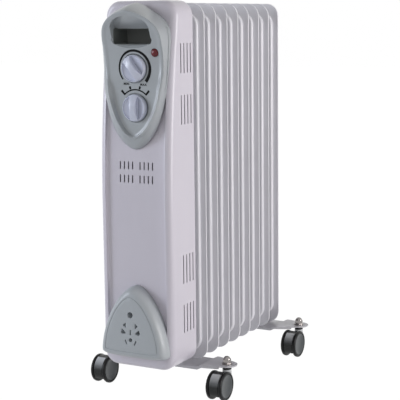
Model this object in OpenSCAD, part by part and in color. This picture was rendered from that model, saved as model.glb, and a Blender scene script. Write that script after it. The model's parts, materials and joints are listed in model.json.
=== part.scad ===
// Oil filled radiator heater on four twin-wheel casters.
// Nine pressed steel fins are joined by an upper and a lower oil gallery.  A sheet steel housing
// at the front holds the controls, a moulded bezel with a grip, and a cover that parks the plug.
// +Z is up, the front faces -Y, and the origin lies on the floor under the middle of the heater.

/* [Fins] */
// Distance from one fin to the next
fin_pitch = 39; // [37:0.5:44]
// Width of a fin across the heater
fin_w = 128; // [122:1:140]
// Height of a fin
fin_h = 579; // [540:1:640]
// Corner radius of a fin seen from the front
fin_corner = 22; // [18:1:30]
// Thickness of the two welded sheets of a fin
fin_sheet = 1.4; // [1:0.1:1.8]
// Thickness of the rolled edge round a fin
fin_edge = 2.4; // [2:0.1:3]
// Width of the flat rim beside the outer oil channel
rim_side = 9.8; // [8:0.1:14]
// Width of the flat rim above and below the outer oil channel
rim_end = 14; // [11:0.5:18]
// Width of the outer oil channel
ring_w = 18; // [15:0.5:20]
// Width of the middle oil channel
channel_w = 24; // [20:1:28]
// Swell of the oil channels on each side of the sheet
channel_swell = 6; // [4:0.5:8]
// Rounding of the oil channels' edges
channel_round = 3; // [2:0.1:4]
// Height of the gallery centres from the ends of a fin
gallery_inset = 62; // [58:1:80]
// Outside diameter of the welded gallery collars
collar_d = 40; // [38:1:44]
// Wall of the gallery collars
collar_wall = 2.5; // [2:0.1:4]

/* [Housing] */
// Reach of the housing past the fins on each side
housing_side = 0.5; // [0:0.1:2]
// Height of the housing's top above the fins
housing_rise = 3.5; // [2:0.5:6]
// Depth of the front housing from its ridges to its open back
housing_depth = 75; // [72:0.5:80]
// Corner radius of the housing seen from the front
housing_corner = 24; // [20:1:30]
// Rounding of the housing's front edge
housing_edge = 10; // [8:0.5:14]
// Sheet thickness of the housing
housing_sheet = 1; // [0.8:0.1:1.5]
// Height of the housing's bottom above the bottom of the fins
housing_lift = 8; // [6:0.5:12]
// Width of the ridge on each side of the sunk middle panel
ridge_w = 10.5; // [8.5:0.5:12.5]
// Depth of the sunk middle panel
recess_depth = 5; // [3:0.5:6]
// Corner radius of the sunk panel
recess_corner = 20; // [16:1:26]
// Distance of the sunk panel from the bottom of the housing
recess_bottom = 26; // [20:1:34]
// Distance of the sunk panel from the top of the housing
recess_top = 30; // [24:1:36]

/* [Vents] */
// Length of a side vent slot
side_slot_h = 46; // [40:1:52]
// Width of a side vent slot
side_slot_w = 2.6; // [2:0.1:3.4]
// Distance between side vent slots
side_slot_pitch = 10; // [8:0.1:10.4]
// Distance of the inner pair of slot groups from mid height
side_group_in = 125; // [100:1:135]
// Distance of the outer pair of slot groups from mid height
side_group_out = 204; // [190:1:215]
// Distance of the side vents' middle below mid height
side_vent_drop = 4.5; // [0:0.5:8]
// Distance of the side vents' middle behind the ridges
side_vent_back = 52; // [48:0.5:54]
// Distance of the front vents' middle below the power knob
front_vent_drop = 101; // [90:1:110]
// Length of a front vent slot
front_slot_h = 12.5; // [10:0.5:15]
// Width of a front vent slot
front_slot_w = 2.2; // [1.8:0.1:3]
// Distance between front vent slots
front_slot_pitch = 7.5; // [6:0.1:9]
// Distance between the two rows of front vent slots
front_row_pitch = 21; // [16:0.5:26]

/* [Control bezel] */
// Half width of the bezel at the panel
bezel_half_w = 57.5; // [54:0.5:60]
// Height of the bezel from its tip to its top
bezel_h = 226; // [215:1:230]
// Distance of the bezel's top from the top of the housing
bezel_top_gap = 2.5; // [1:0.5:6]
// Distance of the bezel to the right of the housing's middle
bezel_shift = 7; // [0:0.5:7]
// Reach of the grip in front of the housing
grip_reach = 31; // [26:0.5:36]
// Reach of the control face in front of the housing
face_reach = 5; // [4:0.5:7]
// Half width of the grip opening
grip_half_w = 34.5; // [30:0.5:37]
// Straight height of the grip opening
grip_straight = 23; // [18:0.5:26]
// Height of the arch over the grip opening
grip_arch = 20; // [14:0.5:22]
// Distance from the top of the bezel to the bottom of the grip opening
grip_drop = 63; // [60:0.5:68]
// Depth of the grip pocket behind the panel
pocket_depth = 26; // [20:0.5:28]
// Wall of the grip pocket
pocket_wall = 1.6; // [1.2:0.1:2.4]

/* [Controls] */
// Diameter of both knobs
knob_d = 42; // [38:0.5:44]
// Height of a knob's skirt and dome
knob_h = 8; // [6:0.5:10]
// Height of the grip bar above the dome
knob_bar_h = 5; // [3:0.5:7]
// Width of a knob's grip bar
knob_bar_w = 10; // [8:0.5:12]
// Distance from the top of the bezel to the thermostat knob
thermostat_drop = 99.5; // [98:0.5:102]
// Distance between the two knobs
knob_pitch = 60; // [50:0.5:64]
// Diameter of the knob spindles
spindle_d = 6; // [5:0.5:8]
// Turn of the thermostat knob's bar from upright
thermostat_turn = 38; // [0:1:90]
// Diameter of the pilot lamp's lens
lamp_d = 12; // [9:0.5:13]
// Distance of the pilot lamp from the bezel's middle
lamp_x = 38; // [35:0.5:40]
// Distance from the top of the bezel to the pilot lamp
lamp_drop = 75.5; // [72:0.5:80]

/* [Plug cover] */
// Half width of the plug cover
cover_half_w = 59.5; // [56:0.5:60]
// Height of the plug cover
cover_h = 115.5; // [105:0.5:125]
// Distance of the plug cover from the bottom of the housing
cover_lift = 18.5; // [16:0.5:24]
// Reach of the plug cover in front of the housing
cover_reach = 21; // [17:0.5:24]
// Wall of the plug cover
cover_wall = 2.2; // [1.8:0.1:3]
// Diameter of the round earth pin hole
pin_hole_d = 9; // [8:0.1:9.6]
// Diameter of the small round pin hole
small_hole_d = 5.4; // [4.6:0.1:5.6]

/* [Feet] */
// Reach of a foot bracket from its stems towards the middle of the heater
foot_back = 32; // [30:0.5:36]
// Reach of a foot bracket from its stems away from the middle
foot_front = 24; // [22:0.5:28]
// Sheet thickness of a foot bracket
foot_sheet = 2; // [1.6:0.1:3]
// Radius of a foot bracket's round ends
foot_end_r = 17; // [15:0.5:20]
// Step down of the foot bracket under the fins
foot_step = 4; // [2:0.5:6]
// Distance of a caster stem from the middle of the heater
caster_x = 109; // [105:0.5:116]
// Distance of the front stems behind the face of the first fin
stem_in = 21; // [16:0.5:26]
// Diameter of the clamp rod over a gallery collar
clamp_d = 5; // [4:0.5:6]

/* [Casters] */
// Diameter of a caster wheel
wheel_d = 46.4; // [42:0.2:50]
// Width over the two wheels of a caster
caster_w = 28; // [26:0.5:32]
// Width of a wheel's tread
tread_w = 6; // [5:0.1:7]
// Distance of the wheel axle from the stem
trail = 26; // [24:0.5:28]
// Diameter of the wheel axle
axle_d = 5; // [4:0.5:6]
// Diameter of a caster stem
stem_d = 8; // [7:0.5:9]
// Height of stem showing between the hood and the bracket
stem_show = 3.6; // [2.5:0.1:6]
// Wall of the caster hood
hood_wall = 2; // [1.6:0.1:2.4]

/* [Fits] */
// Radial running clearance of a turning shaft
run_fit = 0.05; // [0.03:0.01:0.1]
// Gap between pieces that move past each other
free_gap = 0.4; // [0.3:0.05:0.6]
// Gap under a moulding that sits on a sheet
seat = 0.2; // [0.1:0.05:0.3]

/* [Hidden] */
$fn = 64;

// Colours
housing_paint = [0.80, 0.79, 0.83];
fin_paint = [0.78, 0.78, 0.82];
bezel_grey = [0.62, 0.65, 0.65];
knob_white = [0.82, 0.82, 0.88];
dark = [0.13, 0.13, 0.14];
steel = [0.75, 0.75, 0.77];
brass = [0.78, 0.63, 0.35];

// Heights, from the floor up
fin_count = 9;
wheel_r = wheel_d / 2;
foot_end_z = wheel_d + stem_show;                       // underside of a foot bracket's ends
foot_mid_z = foot_end_z - foot_step;                    // underside of its middle
fin_z = foot_mid_z + foot_sheet;                        // bottom of the fins
fin_top = fin_z + fin_h;
lower_gallery_z = fin_z + gallery_inset;
upper_gallery_z = fin_top - gallery_inset;
housing_z = fin_z + housing_lift;
housing_top = fin_top + housing_rise;
housing_h = housing_top - housing_z;
housing_mid_z = housing_z + housing_h / 2;
housing_w = fin_w + 2 * housing_side;
recess_w = housing_w - 2 * ridge_w;
slip = housing_sheet + free_gap;                        // first fin inside the housing's outline

// Places from front to back: the origin lies midway between the grip and the rear bracket's edge
boss_front = channel_swell + 0.6;                       // gallery boss in front of a fin's face
boss_back = fin_sheet + boss_front;                     // and behind it
first_fin_rel = housing_depth - fin_sheet / 2;          // the first fin closes the housing's back
last_fin_rel = first_fin_rel + (fin_count - 1) * fin_pitch;
rear_stem_rel = last_fin_rel - boss_front - clamp_d / 2 - free_gap;
rear_edge_rel = rear_stem_rel + foot_front;
ridge_y = (grip_reach - rear_edge_rel) / 2;             // front of the housing's ridges
panel_y = ridge_y + recess_depth;                       // front of the sunk panel
housing_back_y = ridge_y + housing_depth;
function fin_y(i) = ridge_y + first_fin_rel + (i - 1) * fin_pitch;
front_stem_y = fin_y(1) + stem_in;                      // stems and clamps share a line
rear_stem_y = ridge_y + rear_stem_rel;

// Oil side
gallery_bore = collar_d - 2 * collar_wall;
boss_d = collar_d + 12;
press_wall = fin_sheet / 2;
ring_half_w = fin_w / 2 - rim_side;
ring_z = fin_z + rim_end;
ring_top = fin_top - rim_end;
ring_corner = fin_corner;
tiny = 0.01;

// Bezel and controls
bezel_top = housing_top - bezel_top_gap;
bezel_tip = bezel_top - bezel_h;
thermostat_z = bezel_top - thermostat_drop;
power_z = thermostat_z - knob_pitch;
lamp_z = bezel_top - lamp_drop;
grip_z = bezel_top - grip_drop;                         // bottom of the grip opening
grip_spring_z = grip_z + grip_straight;                 // where its arch begins
face_y = ridge_y - face_reach;
bezel_wall = 2.5;
bezel_plate = 4.5;                                      // thickness of the bezel at the controls
well_depth = 1.2;                                       // round well under each knob
dish_depth = 2.4;                                       // control face below the rim at its tip
dish_start = thermostat_z - 20;
dish_tip = bezel_tip + 20;
power_sink = dish_depth * (dish_start - power_z) / (dish_start - dish_tip);
knob_back_y = face_y + well_depth - free_gap;
power_back_y = knob_back_y + power_sink;
spindle_hole = spindle_d + 2;
body_front_y = panel_y + housing_sheet;                 // controls seat on the panel's inside
shield_y = fin_y(1) - 10;

// Plug cover
cover_z = housing_z + cover_lift;
cover_top = cover_z + cover_h;
cover_y = ridge_y - cover_reach;

// ---- Helpers -------------------------------------------------------------------------------

// Turns a drawing in X and Z into a plate from y0 back to y1
module slab(y0, y1) {
    translate([0, y1, 0]) rotate([90, 0, 0]) linear_extrude(height = y1 - y0) children();
}

// Cylinder along Y from y0 to y1
module rod_y(x, z, y0, y1, d) {
    translate([x, y0, z]) rotate([-90, 0, 0]) cylinder(h = y1 - y0, d = d);
}

// Rectangle with round corners, centred
module round_rect(w, h, r) {
    square([w - 2 * r, h], center = true);
    square([w, h - 2 * r], center = true);
    for (sx = [-1, 1], sz = [-1, 1]) translate([sx * (w / 2 - r), sz * (h / 2 - r)]) circle(r);
}

// Carries a section round a rectangle with round corners.  In the section x = 0 lies on the
// outline, negative x points inwards and negative y points away from the front.
module frame_sweep(w, h, r) {
    for (k = [0:3]) {
        a = k % 2 == 0 ? w : h;
        b = k % 2 == 0 ? h : w;
        rotate([0, 0, 90 * k]) {
            translate([a / 2, b / 2 - r, 0]) rotate([90, 0, 0])
                linear_extrude(height = b - 2 * r) children();
            translate([a / 2 - r, b / 2 - r, 0]) rotate_extrude(angle = 90)
                translate([r, 0]) children();
        }
    }
}

// Block with round corners seen from the front, whose front edge is rounded by edge_r.
// It is centred in X and Z, its front lies at y0 and it runs back to y1.
module soft_block(w, h, r, edge_r, y0, y1) {
    slab(y0 + edge_r, y1) round_rect(w, h, r);
    slab(y0, y0 + edge_r + tiny) round_rect(w - 2 * edge_r, h - 2 * edge_r, r - edge_r);
    translate([0, y0, 0]) rotate([90, 0, 0]) frame_sweep(w, h, r)
        intersection() {
            translate([-edge_r, -edge_r]) circle(edge_r);
            translate([-edge_r, -edge_r]) square(edge_r);
        }
}

// Upright slots, one at each place
module slot_2d(w, h) {
    square([w, h - w], center = true);
    for (s = [-1, 1]) translate([0, s * (h - w) / 2]) circle(d = w);
}

// ---- Fins and oil side ---------------------------------------------------------------------

// Section of an oil channel, inset by g: both sheets pressed apart with rounded edges
module channel_section(w, swell, g) {
    round_rect(w - 2 * g, 2 * swell + fin_sheet - 2 * g, channel_round - g);
}

// Everything in a fin that holds oil, inset by g: the outer channel runs round like a ring, the
// middle one upright, and both meet the gallery bosses through two cross channels
module oil_channels(g) {
    mid = fin_sheet / 2;
    translate([0, mid, (ring_z + ring_top) / 2]) rotate([90, 0, 0])
        frame_sweep(2 * ring_half_w, ring_top - ring_z, ring_corner)
            translate([-ring_w / 2, 0]) channel_section(ring_w, channel_swell, g);
    translate([0, mid, lower_gallery_z])
        linear_extrude(height = upper_gallery_z - lower_gallery_z)
            channel_section(channel_w, channel_swell, g);
    for (z = [lower_gallery_z, upper_gallery_z]) {
        translate([ring_w / 2 - ring_half_w, mid, z]) rotate([0, 90, 0])
            linear_extrude(height = 2 * ring_half_w - ring_w)
                channel_section(ring_w, channel_swell - 0.5, g);
        rod_y(0, z, g - boss_front, boss_back - g, boss_d - 2 * g);
    }
}

// Fin w wide from z0 to z1: a flat sheet with a rolled edge and hollow pressed channels
module fin_at(y, w, z0, z1, corner) {
    translate([0, y, 0]) difference() {
        union() {
            slab(0, fin_sheet) translate([0, (z0 + z1) / 2])
                round_rect(w - fin_edge, z1 - z0 - fin_edge, corner - fin_edge / 2);
            translate([0, fin_sheet / 2, (z0 + z1) / 2]) rotate([90, 0, 0])
                frame_sweep(w, z1 - z0, corner)
                    translate([-fin_edge / 2, 0]) round_rect(fin_edge, fin_edge, fin_edge / 3);
            oil_channels(0);
        }
        oil_channels(press_wall);
        for (z = [lower_gallery_z, upper_gallery_z])
            rod_y(0, z, -2 * boss_front, 2 * boss_back, gallery_bore);
    }
}

// The first fin is smaller, because the housing slips over it
module fin(i) {
    color(fin_paint)
    if (i == 1)
        fin_at(fin_y(1), housing_w - 2 * slip, housing_z + slip, fin_top, housing_corner - slip);
    else
        fin_at(fin_y(i), fin_w, fin_z, fin_top, fin_corner);
}

module collars(z) {
    color(fin_paint) for (i = [1:fin_count - 1]) difference() {
        rod_y(0, z, fin_y(i) + boss_back, fin_y(i + 1) - boss_front, collar_d);
        rod_y(0, z, fin_y(i), fin_y(i + 1), gallery_bore);
    }
}

module upper_collars() collars(upper_gallery_z);
module lower_collars() collars(lower_gallery_z);

// Round plugs close both galleries behind the last fin and the upper one at the first fin
module gallery_plugs() {
    flange_t = 2;
    module plug(y, z, out) {
        translate([0, y, z]) rotate([out > 0 ? -90 : 90, 0, 0]) {
            cylinder(h = flange_t, d = collar_d + 4);
            translate([0, 0, -6]) cylinder(h = 6 + tiny, d = gallery_bore - 2 * run_fit);
            cylinder(h = flange_t + 3, d = 16, $fn = 6);
        }
    }
    color(fin_paint) {
        plug(fin_y(fin_count) + boss_back, upper_gallery_z, 1);
        plug(fin_y(fin_count) + boss_back, lower_gallery_z, 1);
        plug(fin_y(1) - boss_front, upper_gallery_z, -1);
    }
}

tube_d = 8;                                             // heating tube
hairpin_x = 7;
hairpin_z = 8;
element_front_y = fin_y(1) - boss_front;
element_back_y = fin_y(fin_count) - 20;

// Two hairpins, one for each power stage
module heating_element() {
    color(steel) for (s = [-1, 1]) translate([s * hairpin_x, 0, lower_gallery_z]) {
        for (t = [-1, 1]) rod_y(0, t * hairpin_z, element_front_y, element_back_y, tube_d);
        translate([0, element_back_y, 0]) rotate([0, 90, 0]) rotate_extrude(angle = 180)
            translate([hairpin_z, 0]) circle(d = tube_d);
    }
}

flange_t = 5;
pin_reach = 9;
module element_flange() {
    color(brass) {
        rod_y(0, lower_gallery_z, element_front_y - flange_t, element_front_y, collar_d + 6);
        for (sx = [-1, 1], sz = [-1, 1])
            rod_y(sx * hairpin_x, lower_gallery_z + sz * hairpin_z,
                element_front_y - flange_t - pin_reach, element_front_y - flange_t + 1, 3);
    }
}

// Two disc cut-outs on the face of the first fin's middle channel
cutout_d = 16;
cutout_t = 8;
cutout_z = lower_gallery_z + (upper_gallery_z - lower_gallery_z) / 5;
cutout_pitch = 2 * cutout_d + 2;
module thermal_cutouts() {
    color(dark) for (k = [0, 1])
        rod_y(0, cutout_z + cutout_pitch * k, fin_y(1) - channel_swell - cutout_t,
            fin_y(1) - channel_swell, cutout_d);
}

// ---- Front housing and what it carries -----------------------------------------------------

// The housing's form, inset by g on every side
module housing_form(g, back_y) {
    rz0 = housing_z + recess_bottom;
    rz1 = housing_top - recess_top;
    difference() {
        translate([0, 0, housing_mid_z]) soft_block(housing_w - 2 * g, housing_h - 2 * g,
            housing_corner - g, housing_edge - g, ridge_y + g, back_y);
        translate([0, 0, (rz0 + rz1) / 2]) mirror([0, 1, 0])
            soft_block(recess_w + 2 * g, rz1 - rz0 + 2 * g, recess_corner + g,
                recess_depth + g - tiny, -panel_y - g, -ridge_y + 1);
    }
}

// Flat floor of the sunk panel, inset by g
module panel_floor(g) {
    rz0 = housing_z + recess_bottom;
    rz1 = housing_top - recess_top;
    inset = recess_depth + g;
    translate([0, (rz0 + rz1) / 2])
        round_rect(recess_w - 2 * inset, rz1 - rz0 - 2 * inset, recess_corner - inset);
}

module vent_cuts() {
    reach = 3 * housing_sheet;
    // Side slots, the same on both sides
    for (sx = [-1, 1], dz = [-side_group_out, -side_group_in, side_group_in, side_group_out],
            k = [-1.5:1:1.5])
        translate([sx * (housing_w / 2 + reach), side_vent_y + k * side_slot_pitch,
                housing_mid_z - side_vent_drop + dz])
            rotate([90, 0, -sx * 90]) linear_extrude(height = 2 * reach)
                slot_2d(side_slot_w, side_slot_h);
    // Front slots, in two rows of two groups
    for (row = [-0.5, 0.5], sx = [-1, 1], k = [0:3])
        slab(panel_y - reach, panel_y + reach)
            translate([sx * (front_slot_inner + k * front_slot_pitch),
                    front_vent_z + row * front_row_pitch])
                slot_2d(front_slot_w, front_slot_h);
}
side_vent_y = ridge_y + side_vent_back;
front_vent_z = power_z - front_vent_drop;
front_slot_inner = 6.75;

module front_housing() {
    color(housing_paint) difference() {
        housing_form(0, housing_back_y);
        housing_form(housing_sheet, housing_back_y + 1);
        vent_cuts();
        // Opening for the grip pocket
        slab(ridge_y - 1, panel_y + 2 * housing_sheet + 8) translate([bezel_shift, pocket_mid_z])
            round_rect(pocket_out_w + 2 * free_gap, pocket_out_h + 2 * free_gap, pocket_corner);
        // Holes for the two control bushes, the lamp and the cord inlet
        for (z = [thermostat_z, power_z])
            rod_y(bezel_shift, z, ridge_y - 1, panel_y + 10, bush_d + 2 * free_gap);
        rod_y(bezel_shift + lamp_x, lamp_z, ridge_y - 1, panel_y + 10, lamp_d + 2 * free_gap);
        translate([-housing_w / 2 - 1, inlet_y, inlet_z]) rotate([0, 90, 0])
            cylinder(h = 6, d = inlet_body_d + 2 * run_fit);
        // Screw holes in the bottom
        for (x = screw_x) translate([x, screw_y, housing_z - 1]) cylinder(h = 4, d = screw_d + 0.4);
    }
}

pocket_corner = 8;
pocket_out_w = 2 * grip_half_w + 2 * pocket_wall;
pocket_out_h = grip_straight + 2 * pocket_wall;
pocket_mid_z = grip_z + grip_straight / 2;
bush_d = 10;
screw_d = 4;
screw_x = [-housing_w / 4, housing_w / 4];
screw_y = ridge_y + 40;
inlet_y = ridge_y + 30;
inlet_z = housing_z + 62;
inlet_bore = 7;
inlet_body_d = 13;
inlet_flange_d = 18;

// Open box behind the grip opening
module grip_pocket() {
    color(dark) difference() {
        slab(panel_y - seat, panel_y + pocket_depth) translate([bezel_shift, pocket_mid_z])
            round_rect(pocket_out_w, pocket_out_h, pocket_corner);
        slab(panel_y - 1, panel_y + pocket_depth - pocket_wall)
            translate([bezel_shift, pocket_mid_z])
                round_rect(pocket_out_w - 2 * pocket_wall, pocket_out_h - 2 * pocket_wall,
                    pocket_corner - pocket_wall);
    }
}

// ---- Bezel ---------------------------------------------------------------------------------

// Rounded shield outline: an arch above its waist and a long or short taper below it
function bulge(t, p, q) = pow(max(0, 1 - pow(t, p)), 1 / q);
function shield(half_w, tip, waist, top, low, high) = concat(
    [for (a = [0:6:90]) [half_w * bulge(cos(a), low[0], low[1]), waist - (waist - tip) * cos(a)]],
    [for (a = [84:-6:0]) [half_w * bulge(cos(a), high[0], high[1]), waist + (top - waist) * cos(a)]]);
module shield_2d(half_w, tip, waist, top, low, high) {
    right = shield(half_w, tip, waist, top, low, high);
    n = len(right);
    polygon(concat(right, [for (k = [n - 2:-1:1]) [-right[k][0], right[k][1]]]));
}

bezel_waist = bezel_top - 0.28 * bezel_h;
edge_inset = 7.5;                                       // flank of the bezel, base to face
module bezel_outline(inset) {
    shield_2d(bezel_half_w - inset, bezel_tip + inset, bezel_waist, bezel_top - inset * 1.8,
        [2.8, 1.39], [3, 1.45]);
}

// Front surface of the bezel from the side: level over the controls, flaring out to the grip
function face_rel(z) = -face_reach
    - (z > thermostat_z ? (grip_reach - face_reach) * pow((z - thermostat_z)
        / (bezel_top - 1.8 * edge_inset - thermostat_z), 1.8) : 0)
    + (z < bezel_tip + 24 ? (face_reach + recess_depth - 1)
        * (1 - sqrt(1 - pow(1 - (z - bezel_tip) / 24, 2))) : 0);
module side_profile(inset) {
    z_face = bezel_top - 1.8 * edge_inset;
    translate([-bezel_half_w - 1, 0, 0]) rotate([90, 0, 90])
        linear_extrude(height = 2 * bezel_half_w + 2)
            polygon(concat(
                [for (z = [bezel_tip:4:z_face]) [ridge_y + face_rel(z) + inset, z]],
                [[ridge_y - grip_reach + inset, z_face], [ridge_y - grip_reach * 0.6 + inset, bezel_top - 5],
                 [ridge_y - 6, bezel_top], [panel_y + 1, bezel_top], [panel_y + 1, bezel_tip]]));
}

module bezel_body(inset) {
    intersection() {
        hull() {
            slab(ridge_y - free_gap / 4, ridge_y) bezel_outline(inset);
            slab(ridge_y - grip_reach, ridge_y - grip_reach + 1) bezel_outline(inset + edge_inset);
        }
        side_profile(inset);
    }
}

module grip_shape() {
    translate([0, grip_z + grip_straight / 2 - 1]) round_rect(2 * grip_half_w, grip_straight + 2, 4);
    intersection() {
        translate([0, grip_spring_z]) scale([1, grip_arch / grip_half_w]) circle(grip_half_w);
        translate([-grip_half_w, grip_spring_z - 5]) square([2 * grip_half_w, grip_arch + 5]);
    }
}

module bezel() {
    color(bezel_grey) translate([bezel_shift, 0, 0]) difference() {
        union() {
            bezel_body(0);
            // Skirt that sits on the sunk panel
            slab(ridge_y - 1, panel_y - seat) intersection() {
                bezel_outline(1);
                translate([-bezel_shift, 0]) panel_floor(free_gap);
            }
        }
        // Grip opening: straight through low down, under the slanting bar higher up
        intersection() {
            slab(ridge_y - grip_reach - 1, panel_y + 2) grip_shape();
            translate([-bezel_half_w, 0, 0]) rotate([90, 0, 90]) linear_extrude(height = 2 * bezel_half_w)
                polygon([[ridge_y - grip_reach - 2, grip_z - 1], [panel_y + 3, grip_z - 1],
                    [panel_y + 3, grip_spring_z], [ridge_y, grip_spring_z],
                    [ridge_y - grip_reach + 3, grip_spring_z + grip_arch],
                    [ridge_y - grip_reach - 2, grip_spring_z + grip_arch]]);
        }
        // Control face sinks between the rims, deeper towards the tip
        intersection() {
            slab(face_y - 20, face_y + dish_depth)
                shield_2d(bezel_half_w - 16, dish_tip, bezel_waist - 20, dish_start + 20,
                    [2.8, 1.39], [3, 1.45]);
            translate([-bezel_half_w, 0, 0]) rotate([90, 0, 90])
                linear_extrude(height = 2 * bezel_half_w)
                    polygon([[face_y, dish_start], [face_y + dish_depth, dish_tip],
                        [face_y - 15, dish_tip], [face_y - 15, dish_start]]);
        }
        // Wells under the knobs
        rod_y(0, thermostat_z, face_y - 5, face_y + well_depth, knob_d + 5);
        rod_y(0, power_z, face_y - 5, face_y + power_sink + well_depth, knob_d + 5);
        // Spindle and lamp holes
        for (z = [thermostat_z, power_z]) rod_y(0, z, face_y - 5, panel_y + 2, spindle_hole);
        rod_y(lamp_x, lamp_z, ridge_y - grip_reach, panel_y + 2, lamp_d + 2 * run_fit);
        // Hollow back below the grip
        intersection() {
            slab(face_y + bezel_plate, panel_y + 2) bezel_outline(1 + bezel_wall);
            translate([-bezel_half_w, ridge_y - 2, bezel_tip + 6])
                cube([2 * bezel_half_w, 20, grip_z - 14 - bezel_tip]);
        }
    }
}

// ---- Plug cover ----------------------------------------------------------------------------

cover_waist = cover_z + 9.5;
cover_flank = 8;
module cover_outline(inset) {
    shield_2d(cover_half_w - inset, cover_z + inset, cover_waist + inset / 2, cover_top - 1.3 * inset,
        [3, 4], [1.6, 1.63]);
}
module cover_body(inset, grow_back) {
    hull() {
        slab(ridge_y - 3 + inset / 2, ridge_y - 0.1 + grow_back) cover_outline(inset);
        slab(cover_y + 5 + inset, cover_y + 6 + inset) cover_outline(inset + 3);
        slab(cover_y + inset, cover_y + 1 + inset) cover_outline(inset + cover_flank);
    }
}

pin_z = cover_z + 72;
module pin_holes() {
    translate([0, pin_z]) circle(d = pin_hole_d);
    translate([0, pin_z - 40]) circle(d = small_hole_d);
    translate([0, pin_z - 28]) slot_2d(2.2, 8);
    for (s = [-1, 1]) mirror([s > 0 ? 1 : 0, 0]) {
        translate([9.5, pin_z - 17]) {
            slot_2d(1.8, 7);
            polygon([[0, -1.6], [3.6, -3.2], [3.6, 3.2], [0, 1.6]]);
        }
        translate([14, pin_z - 28]) {
            circle(d = 5);
            rotate(45) translate([-1, 0]) slot_2d(1.8, 8);
        }
        translate([8.5, pin_z - 44]) rotate(24) slot_2d(1.8, 7);
    }
}

module plug_cover() {
    color(bezel_grey) difference() {
        union() {
            cover_body(0, 0);
            // Skirt that sits on the sunk panel
            slab(ridge_y - 1, panel_y - seat) intersection() {
                cover_outline(1);
                panel_floor(free_gap);
            }
        }
        cover_body(cover_wall, 0.2);
        slab(ridge_y - 2, panel_y + 1) cover_outline(1 + cover_wall);
        slab(cover_y - 1, cover_y + cover_wall + 1) pin_holes();
        // Thin line round the face
        slab(cover_y - 1, cover_y + 0.5) difference() {
            cover_outline(cover_flank + 3.5);
            cover_outline(cover_flank + 4.5);
        }
    }
}

// ---- Controls ------------------------------------------------------------------------------

// Knob with a waisted grip bar between two scoops; its back lies at y = 0
module knob() {
    dome_r = (knob_d * knob_d / 4 + knob_bar_h * knob_bar_h) / (2 * knob_bar_h);
    scoop_r = 26;
    rotate([90, 0, 0]) difference() {
        union() {
            cylinder(h = knob_h, d = knob_d);
            intersection() {
                translate([0, 0, knob_h + knob_bar_h - dome_r]) sphere(dome_r);
                cylinder(h = knob_h + knob_bar_h, d = knob_d);
            }
        }
        for (s = [-1, 1]) intersection() {
            translate([s * (knob_bar_w * 0.42 + scoop_r), 0, 0]) cylinder(h = 30, r = scoop_r);
            translate([s * knob_bar_w * 0.42, 0, knob_h - 3.2]) rotate([0, -s * 9, 0])
                translate([s > 0 ? -2 : -38, -30, 0]) cube([40, 60, 20]);
        }
        translate([0, 0, -1]) cylinder(h = 7, d = spindle_d + 2 * run_fit);
    }
}

module turned(z, y, turn) translate([bezel_shift, y, z]) rotate([0, turn, 0]) children();

module thermostat_knob()
    color(knob_white) turned(thermostat_z, knob_back_y, -thermostat_turn) knob();
module power_knob() color(knob_white) turned(power_z, power_back_y, 0) knob();

spindle_in = 12;                                        // length of a spindle behind the panel
module spindle(z, back_y) {
    color(steel) rod_y(bezel_shift, z, back_y - 5.5, body_front_y + spindle_in, spindle_d);
}
module thermostat_spindle() spindle(thermostat_z, knob_back_y);
module power_spindle() spindle(power_z, power_back_y);

// Control body behind the panel, with the bush that its spindle turns in
thermostat_w = 36;
thermostat_depth = 20;
power_w = 30;
power_depth = 22;
tab_h = 5;
module control_body(z, w, h, depth) {
    difference() {
        union() {
            translate([bezel_shift - w / 2, body_front_y, z - h / 2]) cube([w, depth, h]);
            rod_y(bezel_shift, z, panel_y - 3, body_front_y + 1, bush_d);
            for (s = [-1, 1])
                translate([bezel_shift + s * w / 4 - 3, body_front_y + depth - tiny, z - 0.4])
                    cube([6, tab_h + tiny, 0.8]);
        }
        rod_y(bezel_shift, z, panel_y - 4, body_front_y + spindle_in + 0.5,
            spindle_d + 2 * run_fit);
    }
}
module thermostat()
    color([0.85, 0.83, 0.78]) control_body(thermostat_z, thermostat_w, 24, thermostat_depth);
module power_switch() color(dark) control_body(power_z, power_w, 30, power_depth);

lamp_y = ridge_y + face_rel(lamp_z);
lens_h = 4;
lens_proud = 2.2;
module lamp_lens() {
    dome_r = (lamp_d * lamp_d / 4 + lens_proud * lens_proud) / (2 * lens_proud);
    color([0.55, 0.1, 0.13]) translate([bezel_shift + lamp_x, lamp_y, lamp_z]) rotate([90, 0, 0])
        rotate_extrude() {
            translate([0, -lens_h]) square([lamp_d / 2, lens_h]);
            intersection() {
                translate([0, lens_proud - dome_r]) circle(dome_r);
                translate([0, -1]) square([lamp_d / 2, lens_proud + 1]);
            }
        }
}
module lamp_holder() {
    color([0.9, 0.9, 0.86]) {
        rod_y(bezel_shift + lamp_x, lamp_z, lamp_y + lens_h, body_front_y + 1, lamp_d - 1);
        rod_y(bezel_shift + lamp_x, lamp_z, body_front_y, body_front_y + 2, lamp_d + 4);
        for (s = [-1, 1]) translate([bezel_shift + lamp_x + s * 2.5 - 0.4, body_front_y + 1.5, lamp_z - 2])
            cube([0.8, 8, 4]);
    }
}

// ---- Inside the housing --------------------------------------------------------------------

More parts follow.
